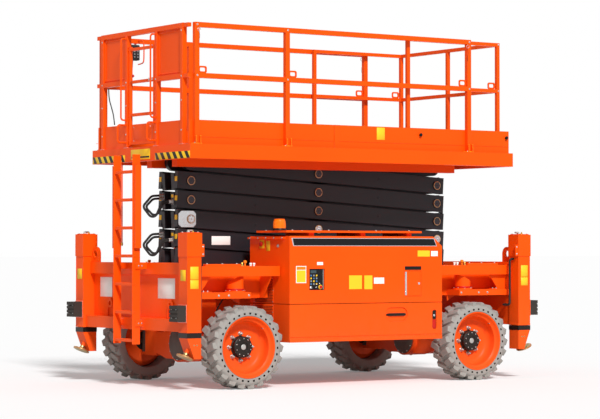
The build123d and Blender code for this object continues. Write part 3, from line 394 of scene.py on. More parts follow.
hubProfile = (
    (0.19, 0.086), (0.172, 0.112), (0.166, 0.112), (0.16, 0.104), (0.124, 0.103), (0.118, 0.107),
    (0.112, 0.107), (0.106, 0.098), (0.104, 0.07), (0.104, 0.052), (0.11, 0.05),
)
lugCorners = ((-1, -1), (1, -1), (1, 0), (1, 1), (-1, 1), (-1, 0))
lugLayers = ((0.01, 0.362), (0.006, 0.392), (0.0, wheel["radius"] - 0.003), (-0.003, wheel["radius"]))
nutParts = (  # washer, nut and stud end: outline, sides
    (((0, 0.024), (0.007, 0.019)), 16), (((0.006, 0.017), (0.026, 0.017), (0.031, 0.012)), 6),
    (((0.02, 0.008), (0.042, 0.008), (0.044, 0.006)), 10),
)
for corner, (end, side) in corners.items():
    outer = Vector((end * wheel["base"], side * wheel["track"], wheel["height"]))
    inward = Vector((0, -side, 0))
    shape = bmesh.new()
    faces = addTurned(shape, outer, inward, carcassProfile, wheel["sides"], 0, close=True)
    ring = faces[3 * wheel["sides"]:4 * wheel["sides"]]  # the sidewall band that has the holes
    paintedShadePits = ring[::wheel["sides"] // wheel["holes"]]
    # the pushed-in pits, floors and walls, take the near-black shadow finish: painted shade inside the holes
    for face in bmesh.ops.extrude_discrete_faces(shape, faces=paintedShadePits)["faces"]:
        for wall in {near for edge in face.edges for near in edge.link_faces}:
            wall.material_index = 1
        for vertex in face.verts:
            vertex.co += inward * wheel["holeDepth"]
    for step in range(wheel["lugs"]):
        for half in (-1, 1):
            # half +1 is the row nearer the wheel's outer face
            turn = 2 * math.pi * (step + (0.5 if half > 0 else 0)) / wheel["lugs"]
            middle = wheel["width"] / 2 - half * wheel["lugOffset"]
            lean = math.radians(wheel["slant"]) * half
            rows = []
            for grow, radius in lugLayers:
                row = []
                for a, b in lugCorners:
                    u = a * (wheel["lugLength"] / 2 + grow)
                    v = b * (wheel["lugWidth"] / 2 + grow)
                    d = middle + u * math.cos(lean) - v * math.sin(lean)
                    d = min(max(d, wheel["inset"]), wheel["width"] - wheel["inset"])
                    angle = turn + side * (u * math.sin(lean) + v * math.cos(lean)) / wheel["radius"]
                    spot = outer + inward * d + Vector((math.sin(angle), 0, math.cos(angle))) * radius
                    row.append(shape.verts.new(spot))
                rows.append(row)
            shape.faces.new(rows[-1])
            shape.faces.new(rows[0])
            for near, far in zip(rows, rows[1:]):
                for place in range(len(lugCorners)):
                    after = (place + 1) % len(lugCorners)
                    shape.faces.new((near[place], near[after], far[after], far[place]))
    tyre = makePiece(shape, "tyre_tread_" + corner, "wheel_" + corner, ("tyre", "shadow"), 30.0)
    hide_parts("tyre_" + corner)
    shape = bmesh.new()
    addTurned(shape, outer, inward, rimProfile, 80, 0, close=True)
    addRound(shape, outer, inward, hubProfile, 48, 1)
    for a, b in around(wheel["nuts"], wheel["nutCircle"]):
        for outline, count in nutParts:
            addRound(shape, outer + inward * wheel["nutSeat"] + Vector((a, 0, b)), -inward, outline,
                     count, 2)
    for a, b in around(wheel["capBolts"], wheel["capBoltCircle"], 0.5):
        addBolt(shape, outer + inward * 0.1045 + Vector((a, 0, b)), -inward, 0.0065, 2, washer=False)
    addRound(shape, outer + inward * 0.11, -inward, ((0, 0.028), (0.004, 0.028), (0.006, 0.022)), 20, 2)
    valve = outer + inward * 0.06 + Vector((0.18, 0, 0.185))
    addBar(shape, valve, valve - inward * 0.035, 0.0045, 8, 2)
    rim = makePiece(shape, "wheel_centre_" + corner, "wheel_" + corner, ("orange", "hubBlack", "zinc"),
                    32.0)
    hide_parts("rim_" + corner)
print("wheels made")

# scissor stack: pin caps, hose couplings and end plates
stack = {"zero": 1.121, "pitch": 0.199, "left": -1.565, "span": 3.202, "face": 0.198, "levels": 6}
restAngle = math.atan2(stack["pitch"], stack["span"])
halfArm = stack["span"] / math.cos(restAngle) / 2
midX = stack["left"] + stack["span"] / 2


def onArm(kind, level, s, lift=0.0):
    # a point s along an arm from its middle, and lift above its centre line
    rise = 1 if kind == "inner" else -1
    x = midX + s * math.cos(restAngle) - rise * lift * math.sin(restAngle)
    z = stack["zero"] + stack["pitch"] * (level - 0.5)
    return x, z + rise * s * math.sin(restAngle) + lift * math.cos(restAngle)


pinCap = {"screws": 6, "screwCircle": 0.034, "brightLevel": 3}
cap = bmesh.new()
addRound(cap, origin, toward, (
    (0, 0.044), (0.002, 0.046), (0.0045, 0.045), (0.0052, 0.034), (0.0046, 0.018)), 28)
for a, b in around(pinCap["screws"], pinCap["screwCircle"]):
    addRound(cap, (a, -0.004, b), toward, (
        (0, 0.0062), (0.004, 0.0062), (0.0048, 0.005), (0.0048, 0.003), (0.002, 0.003)), 10)
addRound(cap, (0, -0.004, 0), toward, ((0, 0.007), (0.003, 0.007), (0.006, 0.003), (0.009, 0.003)), 10)
capUnit = unitFrom(cap, "pin_cap_unit")
ring = bmesh.new()
ringProfile = ((0.0, 0.0375), (0.0, 0.0465), (0.0058, 0.0465), (0.0066, 0.0445), (0.0066, 0.0385))
addTurned(ring, origin, toward, ringProfile, 36, close=True)
ringUnit = unitFrom(ring, "pin_ring_unit")
for level in range(1, stack["levels"] + 1):
    places = []
    for s in (-halfArm, 0.0, halfArm):
        if (level == 1 and s > 0) or (level == stack["levels"] and s < 0):
            continue
        x, z = onArm("outer", level, s)
        places.append(((x, -stack["face"], z), origin))
        places.append(((x, stack["face"], z), (0, 0, math.pi)))
    look = "brightSteel" if level == pinCap["brightLevel"] else "darkSteel"
    repeatAt(f"pin_rings_{level}", places, ringUnit, "paleRing", f"outer_arm_{level}")
    repeatAt(f"pin_caps_{level}", places, capUnit, look, f"outer_arm_{level}")

hoseSet = {
    "groups": (("rear_upper", 5, -1), ("rear_lower", 3, -1), ("front_upper", 4, 1), ("front_lower", 2, 1)),
    "over": {-1: 0.16, 1: 0.096},  # how far the square arm ends pass the pins
    "places": ((0.094, 0.06), (0.094, 0.0288), (-0.094, 0.0), (-0.094, -0.0156)),
    "nut": ((0, 0.0185), (0.012, 0.0185), (0.014, 0.0165)),
    "sleeve": ((0.01, 0.0155), (0.034, 0.0155), (0.04, 0.0135), (0.046, 0.0145), (0.05, 0.0128)),
}
for name, level, end in hoseSet["groups"]:
    shape = bmesh.new()
    reach = end * (halfArm + hoseSet["over"][end])
    along = Vector((end * math.cos(restAngle), 0, end * math.sin(restAngle)))
    for y, lift in hoseSet["places"]:
        x, z = onArm("inner", level, reach, lift)
        addRound(shape, (x, y, z), along, hoseSet["nut"], 6)
        addRound(shape, (x, y, z), along, hoseSet["sleeve"], 20)
    # blocks that the hoses are bolted to, and a blank yellow tab on one
    x, z = onArm("inner", level, reach)
    back, front = x - end * 0.002, x + end * 0.004
    addBlock(shape, (back, 0.07, z - 0.02), (front, 0.118, z + 0.08), 1, 0.001)
    addBlock(shape, (back, -0.118, z - 0.04), (front, -0.07, z + 0.03), 1, 0.001)
    addBlock(shape, (x, -0.116, z + 0.034), (x + end * 0.005, -0.072, z + 0.066), 2, 0.0005)
    makePiece(shape, "hose_couplings_" + name, f"inner_arm_{level}", ("zinc", "darkSteel", "yellow"))

# arm trim: weld beads along the box arms, plugs, a chamfered plate, a blank label and yellow end tabs
armTrim = {"outside": {"outer": 0.19, "inner": 0.124}, "bead": 0.0035, "beadLift": 0.0875, "beadReach": 0.93,
           "plug": ((0, 0.012), (0.0015, 0.012), (0.003, 0.009)), "labelLevel": 2, "plateLevel": 3}
plateRim = ((-0.15, -0.055), (-0.115, -0.085), (0.03, -0.085), (0.06, -0.055),
            (0.06, 0.055), (0.03, 0.085), (-0.115, 0.085), (-0.15, 0.055))
for level in range(1, stack["levels"] + 1):
    for kind, outside in armTrim["outside"].items():
        shape = bmesh.new()
        for side in (-1, 1):
            for lift in (-armTrim["beadLift"], armTrim["beadLift"]):
                points = []
                for s in (-halfArm * armTrim["beadReach"], halfArm * armTrim["beadReach"]):
                    x, z = onArm(kind, level, s, lift)
                    points.append((x, side * (outside - 0.0005), z))
                addBar(shape, *points, armTrim["bead"], 6)
            for s in (-0.5 * halfArm, 0.5 * halfArm):
                x, z = onArm(kind, level, s)
                addRound(shape, (x, side * outside, z), (0, side, 0), armTrim["plug"], 12)
        if kind == "outer" and 1 < level < stack["levels"]:
            x, z = onArm(kind, level, -halfArm - 0.158)
            for side in (-1, 1):
                low, high = (x - 0.003, side * 0.135, z - 0.035), (x + 0.003, side * 0.185, z + 0.035)
                addBlock(shape, low, high, 1, 0.0005)
        if kind == "outer" and level == armTrim["labelLevel"]:
            x, z = onArm(kind, level, -halfArm + 0.37)
            addBlock(shape, (x - 0.115, -0.1912, z - 0.046), (x + 0.115, -0.1895, z + 0.046), 2, 0.0003)
        if kind == "outer" and level == armTrim["plateLevel"]:
            x, z = onArm(kind, level, -halfArm)
            for side in (-1, 1):
                addPrism(shape, [(x + u, side * 0.189, z + v) for u, v in plateRim], (0, side * 0.007, 0), 3)
        makePiece(shape, f"{kind}_arm_trim_{level}", f"{kind}_arm_{level}",
                  ("charcoal", "yellow", "white", "brightSteel"))
print("stack dressed")

# cabinets: decals are blank; controls, flap, handle, latch, grille and beacon
cabinet = {"face": 1.15, "floor": -1.138, "endX": -0.9728}


def sidePlate(shape, x, z, proud, slot, face=-cabinet["face"], depth=0.0012, edge=0.0):
    addBlock(shape, (x[0], face - proud, z[0]), (x[1], face - proud + depth, z[1]), slot, edge)


shape = bmesh.new()
strips = (
    (0, -1.1508, ((-0.952, 1.52), (-0.93, 1.438), (0.905, 1.438), (0.868, 1.52))),
    (1, -1.1514, ((-0.936, 1.514), (-0.92, 1.444), (0.896, 1.444), (0.861, 1.514))),
)
for slot, y, outline in strips:
    addPrism(shape, [(x, y, z) for x, z in outline], (0, 0.0012, 0), slot)
labels = (  # x range, z range, how proud, slot
    ((-0.896, -0.77), (1.06, 1.234), 0.0008, 2), ((-0.888, -0.778), (1.068, 1.19), 0.0014, 3),
    ((-0.888, -0.778), (1.196, 1.227), 0.0014, 4), ((-0.637, -0.562), (1.243, 1.274), 0.0008, 2),
    ((-0.235, -0.072), (0.992, 1.134), 0.0008, 3), ((-0.042, 0.062), (0.99, 1.133), 0.0008, 3),
    ((0.081, 0.213), (1.046, 1.11), 0.0008, 2), ((0.65, 0.812), (1.328, 1.392), 0.0008, 3),
    ((0.828, 0.917), (1.332, 1.387), 0.0008, 2), ((0.482, 0.697), (1.188, 1.226), 0.0008, 1),
)
for x, z, proud, slot in labels:
    sidePlate(shape, x, z, proud, slot)
makePiece(shape, "blank_labels", "hood_right", ("brightSteel", "gloss", "white", "yellow", "amberPaint"))

panel = {"x": (-0.727, -0.543), "z": (0.988, 1.202), "rows": 4, "columns": 3, "first": (-0.706, 1.136),
         "step": (0.034, 0.029), "half": 0.01, "face": cabinet["floor"] - 0.002}
shape = bmesh.new()
sidePlate(shape, panel["x"], panel["z"], 0.002, 0, cabinet["floor"], 0.003, 0.0008)
sidePlate(shape, (-0.722, -0.562), (0.994, 1.196), 0.0035, 0, cabinet["floor"], 0.002, 0.0006)
sidePlate(shape, (-0.711, -0.64), (1.16, 1.19), 0.0048, 1, cabinet["floor"], 0.002, 0.0005)
for row in range(panel["rows"]):
    for column in range(panel["columns"]):
        x = panel["first"][0] + panel["step"][0] * column
        z = panel["first"][1] - panel["step"][1] * row
        slot = (2, 3, 4)[(row * 2 + column) % 3]
        spanX, spanZ = (x - panel["half"], x + panel["half"]), (z - panel["half"], z + panel["half"])
        sidePlate(shape, spanX, spanZ, 0.0075, slot, cabinet["floor"], 0.005, 0.002)
sidePlate(shape, (-0.557, -0.551), (0.992, 1.198), 0.0045, 5, cabinet["floor"], 0.003, 0.0006)
# key switch
x, y, z = key = (-0.708, panel["face"], 1.014)
addRound(shape, key, toward, ((0, 0.014), (0.005, 0.014), (0.007, 0.011), (0.004, 0.008)), 24, 5)
addBlock(shape, (x - 0.0015, y - 0.012, z - 0.009), (x + 0.0015, y - 0.003, z + 0.009), 5, 0.0005)
# stop button with its yellow disc
stop = (-0.588, panel["face"], 1.018)
addRound(shape, stop, toward, ((0, 0.024), (0.0025, 0.024), (0.003, 0.021)), 28, 4)
mushroom = ((0.003, 0.008), (0.006, 0.008), (0.007, 0.016), (0.011, 0.017), (0.0135, 0.014), (0.0145, 0.007),
            (0.0147, 0))
addRound(shape, stop, toward, mushroom, 28, 6)
for x, z in ((-0.64, 1.018), (-0.64, 1.045), (-0.6, 1.055)):
    addRound(shape, (x, panel["face"], z), toward, ((0, 0.006), (0.005, 0.006), (0.007, 0.003)), 16, 5)
makePiece(shape, "ground_controls", "hood_right",
          ("gloss", "screen", "blue", "grey", "yellow", "brightSteel", "red"))

hinge = {"x": 0.487, "y": -1.1502, "low": 0.922, "high": 1.168, "knuckles": 12, "gap": 0.0008,
         "radius": 0.0032}
shape = bmesh.new()
step = (hinge["high"] - hinge["low"]) / hinge["knuckles"]
for count in range(hinge["knuckles"]):
    z = hinge["low"] + step * count
    low, high = (hinge["x"], hinge["y"], z + hinge["gap"]), (hinge["x"], hinge["y"], z + step - hinge["gap"])
    addBar(shape, low, high, hinge["radius"], 10)
    if count % 2:
        rivet = ((0, 0.0035), (0.0012, 0.003), (0.0016, 0))
        addRound(shape, (hinge["x"] + 0.014, -cabinet["face"], z + step / 2), toward, rivet, 10)
sidePlate(shape, (0.4895, 0.508), (hinge["low"], hinge["high"]), 0.0006, 0)
flapLock = ((0, 0.013), (0.002, 0.013), (0.003, 0.01), (0.002, 0.006))
addRound(shape, (0.668, -cabinet["face"], 1.045), toward, flapLock, 24)
makePiece(shape, "filler_flap_fittings", "hood_right", ("brightSteel",))

tray = {"handle": (0.268, 0.478), "handleZ": (0.7055, 0.7365), "slot": (0.849, 0.897), "rivets": 11}
for word, side in sides.items():
    shape = bmesh.new()
    face, out = side * cabinet["face"], (0, side, 0)
    low, high = tray["handle"]
    bottom, top = tray["handleZ"]
    addBlock(shape, (low, face - side * 0.004, bottom), (high, face + side * 0.0015, top), 0, 0.002)
    for x in (low - 0.01, high + 0.01):
        boss = ((0, 0.012), (0.006, 0.012), (0.009, 0.008))
        addRound(shape, (x, face - side * 0.012, 0.721), out, boss, 18)
    low, high = tray["slot"]
    for slot, bottom, top in ((0, 0.668, 0.756), (1, 0.566, 0.662)):
        addBlock(shape, (low, face - side * 0.0125, bottom), (high, face - side * 0.006, top), slot, 0.003)
    lock = ((0, 0.012), (0.003, 0.012), (0.005, 0.008))
    addRound(shape, (0.873, face - side * 0.007, 0.705), out, lock, 20, 2)
    for count in range(tray["rivets"]):
        addRound(shape, (-0.95 + 0.19 * count, face, 0.532), out,
                 ((0, 0.006), (0.002, 0.006), (0.003, 0.004)), 8, 3)
    makePiece(shape, "tray_fittings_" + word, "chassis", ("gloss", "red", "brightSteel", "orange"))

grille = {"y": (0.492, 0.838), "zones": {"hood": (0.866, 1.1), "tray": (0.69, 0.828)}, "pitch": 0.0185,
          "rowShare": 0.866, "face": -0.9755, "hole": ((0, 0.0062), (0.0008, 0.0062)), "rim": 0.012,
          "screw": ((0, 0.005), (0.002, 0.004), (0.0025, 0))}
# flat near-black discs on the grille plates: painted shade where the holes would be
hole = bmesh.new()
addRound(hole, origin, backward, grille["hole"], 8)
holeShadeUnit = unitFrom(hole, "grille_hole_unit")
for word, side in sides.items():
    for zone, (low, high) in grille["zones"].items():
        body = "hood_" + word if zone == "hood" else "chassis"
        plate = bmesh.new()
        y = sorted(side * edge for edge in grille["y"])
        plateLow = (grille["face"], y[0] - grille["rim"], low - 0.01)
        plateHigh = (cabinet["endX"], y[1] + grille["rim"], high + 0.01)
        addBlock(plate, plateLow, plateHigh, 0, 0.001)
        heights = (low - 0.002, (low + high) / 2, high + 0.002)
        edges = (y[0] - 0.004, y[1] + 0.004)
        addEach(addRound, plate, (grille["face"],), edges, heights, backward, grille["screw"], 8, 1)
        makePiece(plate, f"grille_plate_{zone}_{word}", body, ("orange", "zinc"))
        rise = grille["pitch"] * grille["rowShare"]
        places = []
        for row in range(int((high - low) / rise) + 1):
            for column in range(int((y[1] - y[0]) / grille["pitch"])):
                spot = y[0] + grille["pitch"] * (column + (0.5 if row % 2 else 0.0)) + 0.004
                places.append(((grille["face"], spot, low + row * rise), origin))
        repeatAt(f"grille_holes_{zone}_{word}", places, holeShadeUnit, "shadow", body)

beacon = {
    "place": (-0.965, -0.95, 1.597), "ribs": 24,
    "base": ((0, 0.067), (0, 0.0695), (0.016, 0.0695), (0.021, 0.066), (0.024, 0.0635), (0.024, 0.061)),
    "lens": ((0.022, 0.0605), (0.022, 0.0645), (0.03, 0.065), (0.095, 0.0605), (0.108, 0.0575),
             (0.116, 0.05), (0.1195, 0.036), (0.1205, 0.018), (0.1205, 0), (0.1185, 0), (0.1185, 0.05),
             (0.106, 0.0562), (0.094, 0.059)),
}
shape = bmesh.new()
base = Vector(beacon["place"])
addTurned(shape, base, up, beacon["base"], 40, 0, close=True)
addTurned(shape, base, up, beacon["lens"], 48, 1)
for a, b in around(beacon["ribs"], 1.0):
    out = Vector((a, b, 0))
    low, high = base + out * 0.065 + Vector((0, 0, 0.032)), base + out * 0.0607 + Vector((0, 0, 0.094))
    addBar(shape, low, high, 0.0016, 6, 1)
makePiece(shape, "warning_beacon", "hood_right", ("gloss", "amber"))

hoodBolts = (  # direction, radius, places along x, y and z
    (backward, 0.006, ((-1.003,), (0.45, 0.6, 0.75, 0.9, 1.05), (1.521,))),
    (up, 0.008, ((-0.9, -0.45, 0.15, 0.58), (0.6, 1.09), (1.597,))),
)


def addHoodBolts(shape, side, slot):
    for way, size, (xs, ys, zs) in hoodBolts:
        addEach(addBolt, shape, xs, [side * y for y in ys], zs, way, size, slot)


shape = bmesh.new()
pullKnob = ((0, 0.016), (0.01, 0.016), (0.011, 0.026), (0.017, 0.027), (0.021, 0.02), (0.022, 0))
addBlock(shape, (-0.9745, -0.68, 1.414), (cabinet["endX"], -0.59, 1.503), 0, 0.0004)
addRound(shape, (-0.973, -0.635, 1.459), backward, pullKnob, 28, 1)
addBlock(shape, (-0.9742, -0.786, 1.387), (cabinet["endX"], -0.712, 1.49), 0, 0.0004)
addBolt(shape, (-0.973, -0.935, 1.438), backward, 0.012, 2)
addHoodBolts(shape, -1, 2)
makePiece(shape, "hood_end_fittings", "hood_right", ("yellow", "red", "zinc"))
shape = bmesh.new()
addHoodBolts(shape, 1, 0)
addBlock(shape, (-0.7, 1.1492, 1.05), (-0.52, 1.151, 1.19), 1, 0.0004)
addBlock(shape, (0.3, 1.1492, 1.05), (0.42, 1.151, 1.19), 2, 0.0004)
makePiece(shape, "hood_left_fittings", "hood_left", ("zinc", "white", "yellow"))
print("cabinets dressed")

# chassis: post caps and labels, side-beam valves, tower collars, bumper bolts, axle and jack fittings
chassisSet = {"postX": 2.104, "postY": 1.069, "towerY": 0.885, "axleX": 1.459}
post = {
    "cap": (1.5645, 1.5715), "capHalf": 0.072, "capBolt": 0.056, "elbowZ": 1.589,
    "port": ((0, 0.018), (0.012, 0.018), (0.014, 0.014), (0.026, 0.014)),
    "bleeder": ((0, 0.012), (0.01, 0.012), (0.012, 0.007), (0.024, 0.007)),
    "labels": ((1.105, 1.232), (1.012, 1.1)), "seam": 0.0795, "band": 0.0835, "lugBolts": (1.355, 1.43),
}
arch = {
    "coverBolts": (1.49, 1.66, 1.84), "top": 1.234, "valves": (  # x, y, outline, sides, slot
        (1.425, 0.962, ((0, 0.016), (0.012, 0.016), (0.014, 0.011), (0.034, 0.011), (0.038, 0.008)), 12, 2),
        (1.39, 0.962, ((0, 0.008), (0.03, 0.008), (0.034, 0.018), (0.052, 0.018), (0.058, 0.012)), 20, 3),
    ), "button": ((0, 0.01), (0.016, 0.01), (0.016, 0.014), (0.03, 0.014), (0.033, 0.009)),
    "buttonX": (1.325, 1.285),
    "collar": ((0, 0.0845), (0, 0.0905), (0.006, 0.0925), (0.014, 0.0925), (0.02, 0.0905), (0.02, 0.0845)),
    "flangeBolts": 8, "flangeCircle": 0.0975, "ledge": 1.8, "sideBolts": (1.36, 1.6, 1.72),
    "welds": (((0.995, 2.015), 0.9905, 1.1335), ((1.34, 2.02), 0.7625, 0.9705)),
}
jackFoot = {
    "lean": 24.0, "shift": 0.06, "height": 0.335, "bolts": 4, "boltCircle": 0.062,
    "pad": ((0, 0.08), (0.004, 0.0875), (0.013, 0.0875), (0.017, 0.08)),
    "boss": ((0, 0.04), (0.01, 0.038), (0.018, 0.026), (0.034, 0.0225), (0.04, 0.0225)),
    "wiper": ((0, 0.109), (0, 0.1165), (0.01, 0.118), (0.04, 0.118), (0.049, 0.1165), (0.049, 0.109)),
}
for corner, (end, side) in corners.items():
    x, y = end * chassisSet["postX"], side * chassisSet["postY"]
    out = (0, side, 0)
    shape = bmesh.new()
    half, spread = post["capHalf"], post["capBolt"]
    addBlock(shape, (x - half, y - half, post["cap"][0]), (x + half, y + half, post["cap"][1]), 0, 0.002)
    addEach(addBolt, shape, (x - spread, x + spread), (y - spread, y + spread), post["cap"][1:], up,
            0.007, 1)
    # ram port, elbow and brass bleeder
    addRound(shape, (x - 0.018, y, 1.57), up, post["port"], 6, 1)
    elbow = (x - 0.018, y, post["elbowZ"])
    addBar(shape, elbow, (elbow[0] - end * 0.045, y, post["elbowZ"]), 0.01, 12, 1)
    addRound(shape, (x + 0.03, y, 1.57), up, post["bleeder"], 12, 2)
    # clamp lug
    addBlock(shape, (x - end * 0.08, side * 1.135, 1.33), (x - end * 0.118, side * 1.149, 1.455), 0, 0.002)
    addEach(addBolt, shape, (x - end * 0.102,), (side * 1.149,), post["lugBolts"], out, 0.0065, 1)
    for low, high in post["labels"]:
        addBlock(shape, (x - 0.046, side * 1.1492, low), (x + 0.05, side * 1.1502, high), 3, 0.0003)
    addBlock(shape, (end * 2.1842, y - 0.05, 1.09), (end * 2.1852, y + 0.05, 1.2), 3, 0.0003)
    # weld seams down the post and a band around it
    for a in (x - post["seam"], x + post["seam"]):
        addBar(shape, (a, side * 1.1485, 0.6), (a, side * 1.1485, 1.325), 0.0028, 6)
    half = post["band"]
    addBlock(shape, (x - half, y - half, 0.5775), (x + half, y + half, 0.598), 0, 0.002)
    makePiece(shape, "post_fittings_" + corner, "chassis", ("orange", "zinc", "brass", "yellow", "white"))

    shape = bmesh.new()
    addBlock(shape, (end * 1.456, side * 0.932, 1.2335), (end * 1.87, side * 0.988, 1.256), 0, 0.003)
    for a in arch["coverBolts"]:
        addBolt(shape, (end * a, side * 0.96, 1.256), up, 0.008, 1)
    for a, b, outline, count, slot in arch["valves"]:
        addRound(shape, (end * a, side * b, arch["top"]), up, outline, count, slot)
    for a in arch["buttonX"]:
        addRound(shape, (end * a, side * 0.965, arch["top"]), up, arch["button"], 16, 4)
    # tower collar and flange bolts
    tower = Vector((end * chassisSet["axleX"], side * chassisSet["towerY"], 0.9855))
    addTurned(shape, tower, up, arch["collar"], 48, 5, close=True)
    for a, b in around(arch["flangeBolts"], arch["flangeCircle"], 0.5):
        addBolt(shape, tower + Vector((a, b, 0)), up, 0.0055, 1, washer=False)
    ledge = arch["ledge"]
    addBlock(shape, (end * ledge, side * 0.905, 0.9695), (end * (ledge + 0.1), side * 0.985, 0.979), 0,
             0.002)
    for a in (ledge + 0.025, ledge + 0.075):
        addBolt(shape, (end * a, side * 0.945, 0.979), up, 0.009, 1)
    for a in arch["sideBolts"]:
        addBolt(shape, (end * a, side * 0.99, 0.938), out, 0.008, 1)
    # weld beads where the arch sheet meets the beam and ledge
    for (near, far), b, z in arch["welds"]:
        addBar(shape, (end * near, side * b, z), (end * far, side * b, z), 0.003, 6)
    makePiece(shape, "arch_fittings_" + corner, "chassis",
              ("orange", "zinc", "brass", "amberPaint", "white", "red"))

    shape = bmesh.new()
    addEach(addBolt, shape, (end * 2.2905,), (y - 0.045, y + 0.045), (0.722, 0.814), (end, 0, 0), 0.0065)
    addBlock(shape, (end * 2.184, y - 0.079, 0.68), (end * 2.196, y + 0.079, 0.856), 1, 0.002)
    makePiece(shape, "bumper_bolts_" + corner, "chassis", ("zinc", "orange"))

    shape = bmesh.new()
    angle = math.radians(jackFoot["lean"])
    lean = Vector((-end * math.sin(angle), 0, math.cos(angle)))
    foot = Vector((x + end * jackFoot["shift"], y, jackFoot["height"]))
    addRound(shape, foot - lean * 0.0085, lean, jackFoot["pad"], 44)
    addRound(shape, foot + lean * 0.006, lean, jackFoot["boss"], 28)
    for count in range(jackFoot["bolts"]):
        spoke = lean.orthogonal().normalized()
        spoke.rotate(Matrix.Rotation(2 * math.pi * (count + 0.5) / jackFoot["bolts"], 3, lean))
        addBolt(shape, foot + lean * 0.0075 + spoke * jackFoot["boltCircle"], lean, 0.007, 0)
    # black wiper band at the top of the shoe
    addTurned(shape, (x, y, 0.526), up, jackFoot["wiper"], 4, 2, close=True)
    for a, z in ((0.032, 0.4542), (0.0, 0.455)):
        addBolt(shape, (x - end * a, side * 1.149, z), out, 0.006, 0)
    makePiece(shape, "jack_foot_" + corner, "jack_leg_" + corner, ("yellowZinc", "orange", "gloss"))

axle = {
    "height": 0.42, "cover": ((0, 0.172), (0.01, 0.172), (0.022, 0.15), (0.04, 0.105), (0.046, 0.05)),
    "coverOut": 0.14, "bolts": 12, "boltCircle": 0.161, "ramIn": 0.135, "ramZ": 0.56,
    "plug": ((0, 0.016), (0.01, 0.016), (0.012, 0.01)),
    "line": ((0, 0.2, 0.59), (0, 0.2, 0.64), (0.05, 0.2, 0.74), (0.1, 0.24, 0.86), (0.12, 0.27, 0.905)),
}
endFrame = {
    "x": 2.05, "plates": ((0.6, 0.855), (-0.69, -0.35)), "seams": (0.7055, 1.1485), "seamHalf": 0.985,
    "topEye": ((0, 0.0385), (0, 0.048), (0.003, 0.05), (0.006, 0.048), (0.006, 0.0385)),
    "lowEye": ((0, 0.026), (0, 0.048), (0.003, 0.051), (0.011, 0.051), (0.014, 0.048), (0.014, 0.026)),
}
for word, end in ends.items():
    middle = end * chassisSet["axleX"]
    shape = bmesh.new()
    for face in (-1, 1):
        place = Vector((middle + face * axle["coverOut"], 0, axle["height"]))
        addRound(shape, place, (face, 0, 0), axle["cover"], 40)
        for a, b in around(axle["bolts"], axle["boltCircle"]):
            addBolt(shape, place + Vector((face * 0.0095, a, b)), (face, 0, 0), 0.008, 1, washer=False)
    addRound(shape, (middle, 0.05, 0.233), (0, 0, -1), axle["plug"], 6, 1)
    # steering ram across the axle and its two lines
    ram, z = middle - end * axle["ramIn"], axle["ramZ"]
    addBar(shape, (ram, -0.24, z), (ram, 0.24, z), 0.032, 24)
    addBar(shape, (ram, -0.52, z), (ram, -0.24, z), 0.014, 16, 2)
    addBar(shape, (ram, 0.24, z), (ram, 0.52, z), 0.014, 16, 2)
    for side in (-1, 1):
        addBlock(shape, (ram, side * 0.47, 0.5), (end * 1.375, side * 0.56, 0.58), 0, 0.004)
        addPipe(shape, [(ram - end * a, side * b, z) for a, b, z in axle["line"]], 0.008, 10, 3)
    makePiece(shape, f"axle_fittings_{word}", "chassis", ("cast", "zinc", "chrome", "rubber"))

    shape = bmesh.new()
    face, out = end * endFrame["x"], (end, 0, 0)
    for low, high in endFrame["plates"]:
        addBlock(shape, (face, low, 0.905), (face + end * 0.0012, high, 1.112), 0, 0.0004)
    for y in (-0.9, 0.9):
        addTurned(shape, (end * 2.085, y, 1.357), out, endFrame["topEye"], 40, 2, close=True)
        for b in (y - 0.0755, y + 0.0755):
            addBar(shape, (end * 2.087, b, 1.272), (end * 2.087, b, 1.34), 0.004, 6, 2)
    # lugs with eyes on the lower shelf
    for y in (-0.62, 0.62):
        for b in (-1, 1):
            addBar(shape, (end * 2.06, y + b * 0.06, 0.71), (end * 2.06, y + b * 0.04, 0.83), 0.008, 8, 2)
        addTurned(shape, (end * 2.056, y, 0.84), out, endFrame["lowEye"], 32, 2, close=True)
    for z in endFrame["seams"]:
        addBar(shape, (end * 2.051, -endFrame["seamHalf"], z), (end * 2.051, endFrame["seamHalf"], z),
               0.0035, 6, 2)
    makePiece(shape, f"end_fittings_{word}", "chassis", ("white", "grey", "orange", "zinc"))

# ladder: serrated treads, stile bolts
ladder = {"first": 0.473, "pitch": 0.287, "rungs": 7, "teeth": 17, "half": 0.178, "x": -2.236,
          "lift": 0.0135, "boltX": (-2.195, -2.158), "boltZ": (1.235, 0.65), "edgeX": (-2.259, -2.176),
          "edgeZ": (0.44, 2.36), "plug": ((0, 0.016), (0.0025, 0.014), (0.004, 0))}
tooth = bmesh.new()
toothFace = ((-0.014, -0.0035, 0.0), (0.014, -0.0035, 0.0), (0.011, -0.002, 0.0045),
             (-0.011, -0.002, 0.0045))
addPrism(tooth, toothFace, (0, 0.0045, 0))
toothUnit = unitFrom(tooth, "tread_tooth_unit")
rungHeights = [ladder["first"] + rung * ladder["pitch"] for rung in range(ladder["rungs"])]
places = []
for z in rungHeights:
    for count in range(ladder["teeth"]):
        y = -ladder["half"] + 2 * ladder["half"] * count / (ladder["teeth"] - 1)
        places.append(((ladder["x"], y, z + ladder["lift"]), origin))
repeatAt("ladder_tread_teeth", places, toothUnit, "orange", "chassis")
shape = bmesh.new()
for side in (-1, 1):
    out = (0, side, 0)
    addEach(addBolt, shape, ladder["boltX"], (side * 0.212,), ladder["boltZ"], out, 0.006)
    addEach(addRound, shape, (ladder["x"],), (side * 0.2,), rungHeights, out, ladder["plug"], 16, 1)
    for x in ladder["edgeX"]:
        low, high = ladder["edgeZ"]
        addBar(shape, (x, side * 0.1955, low), (x, side * 0.1955, high), 0.0045, 8, 1)
makePiece(shape, "ladder_fittings", "chassis", ("zinc", "orange"))
print("chassis dressed")

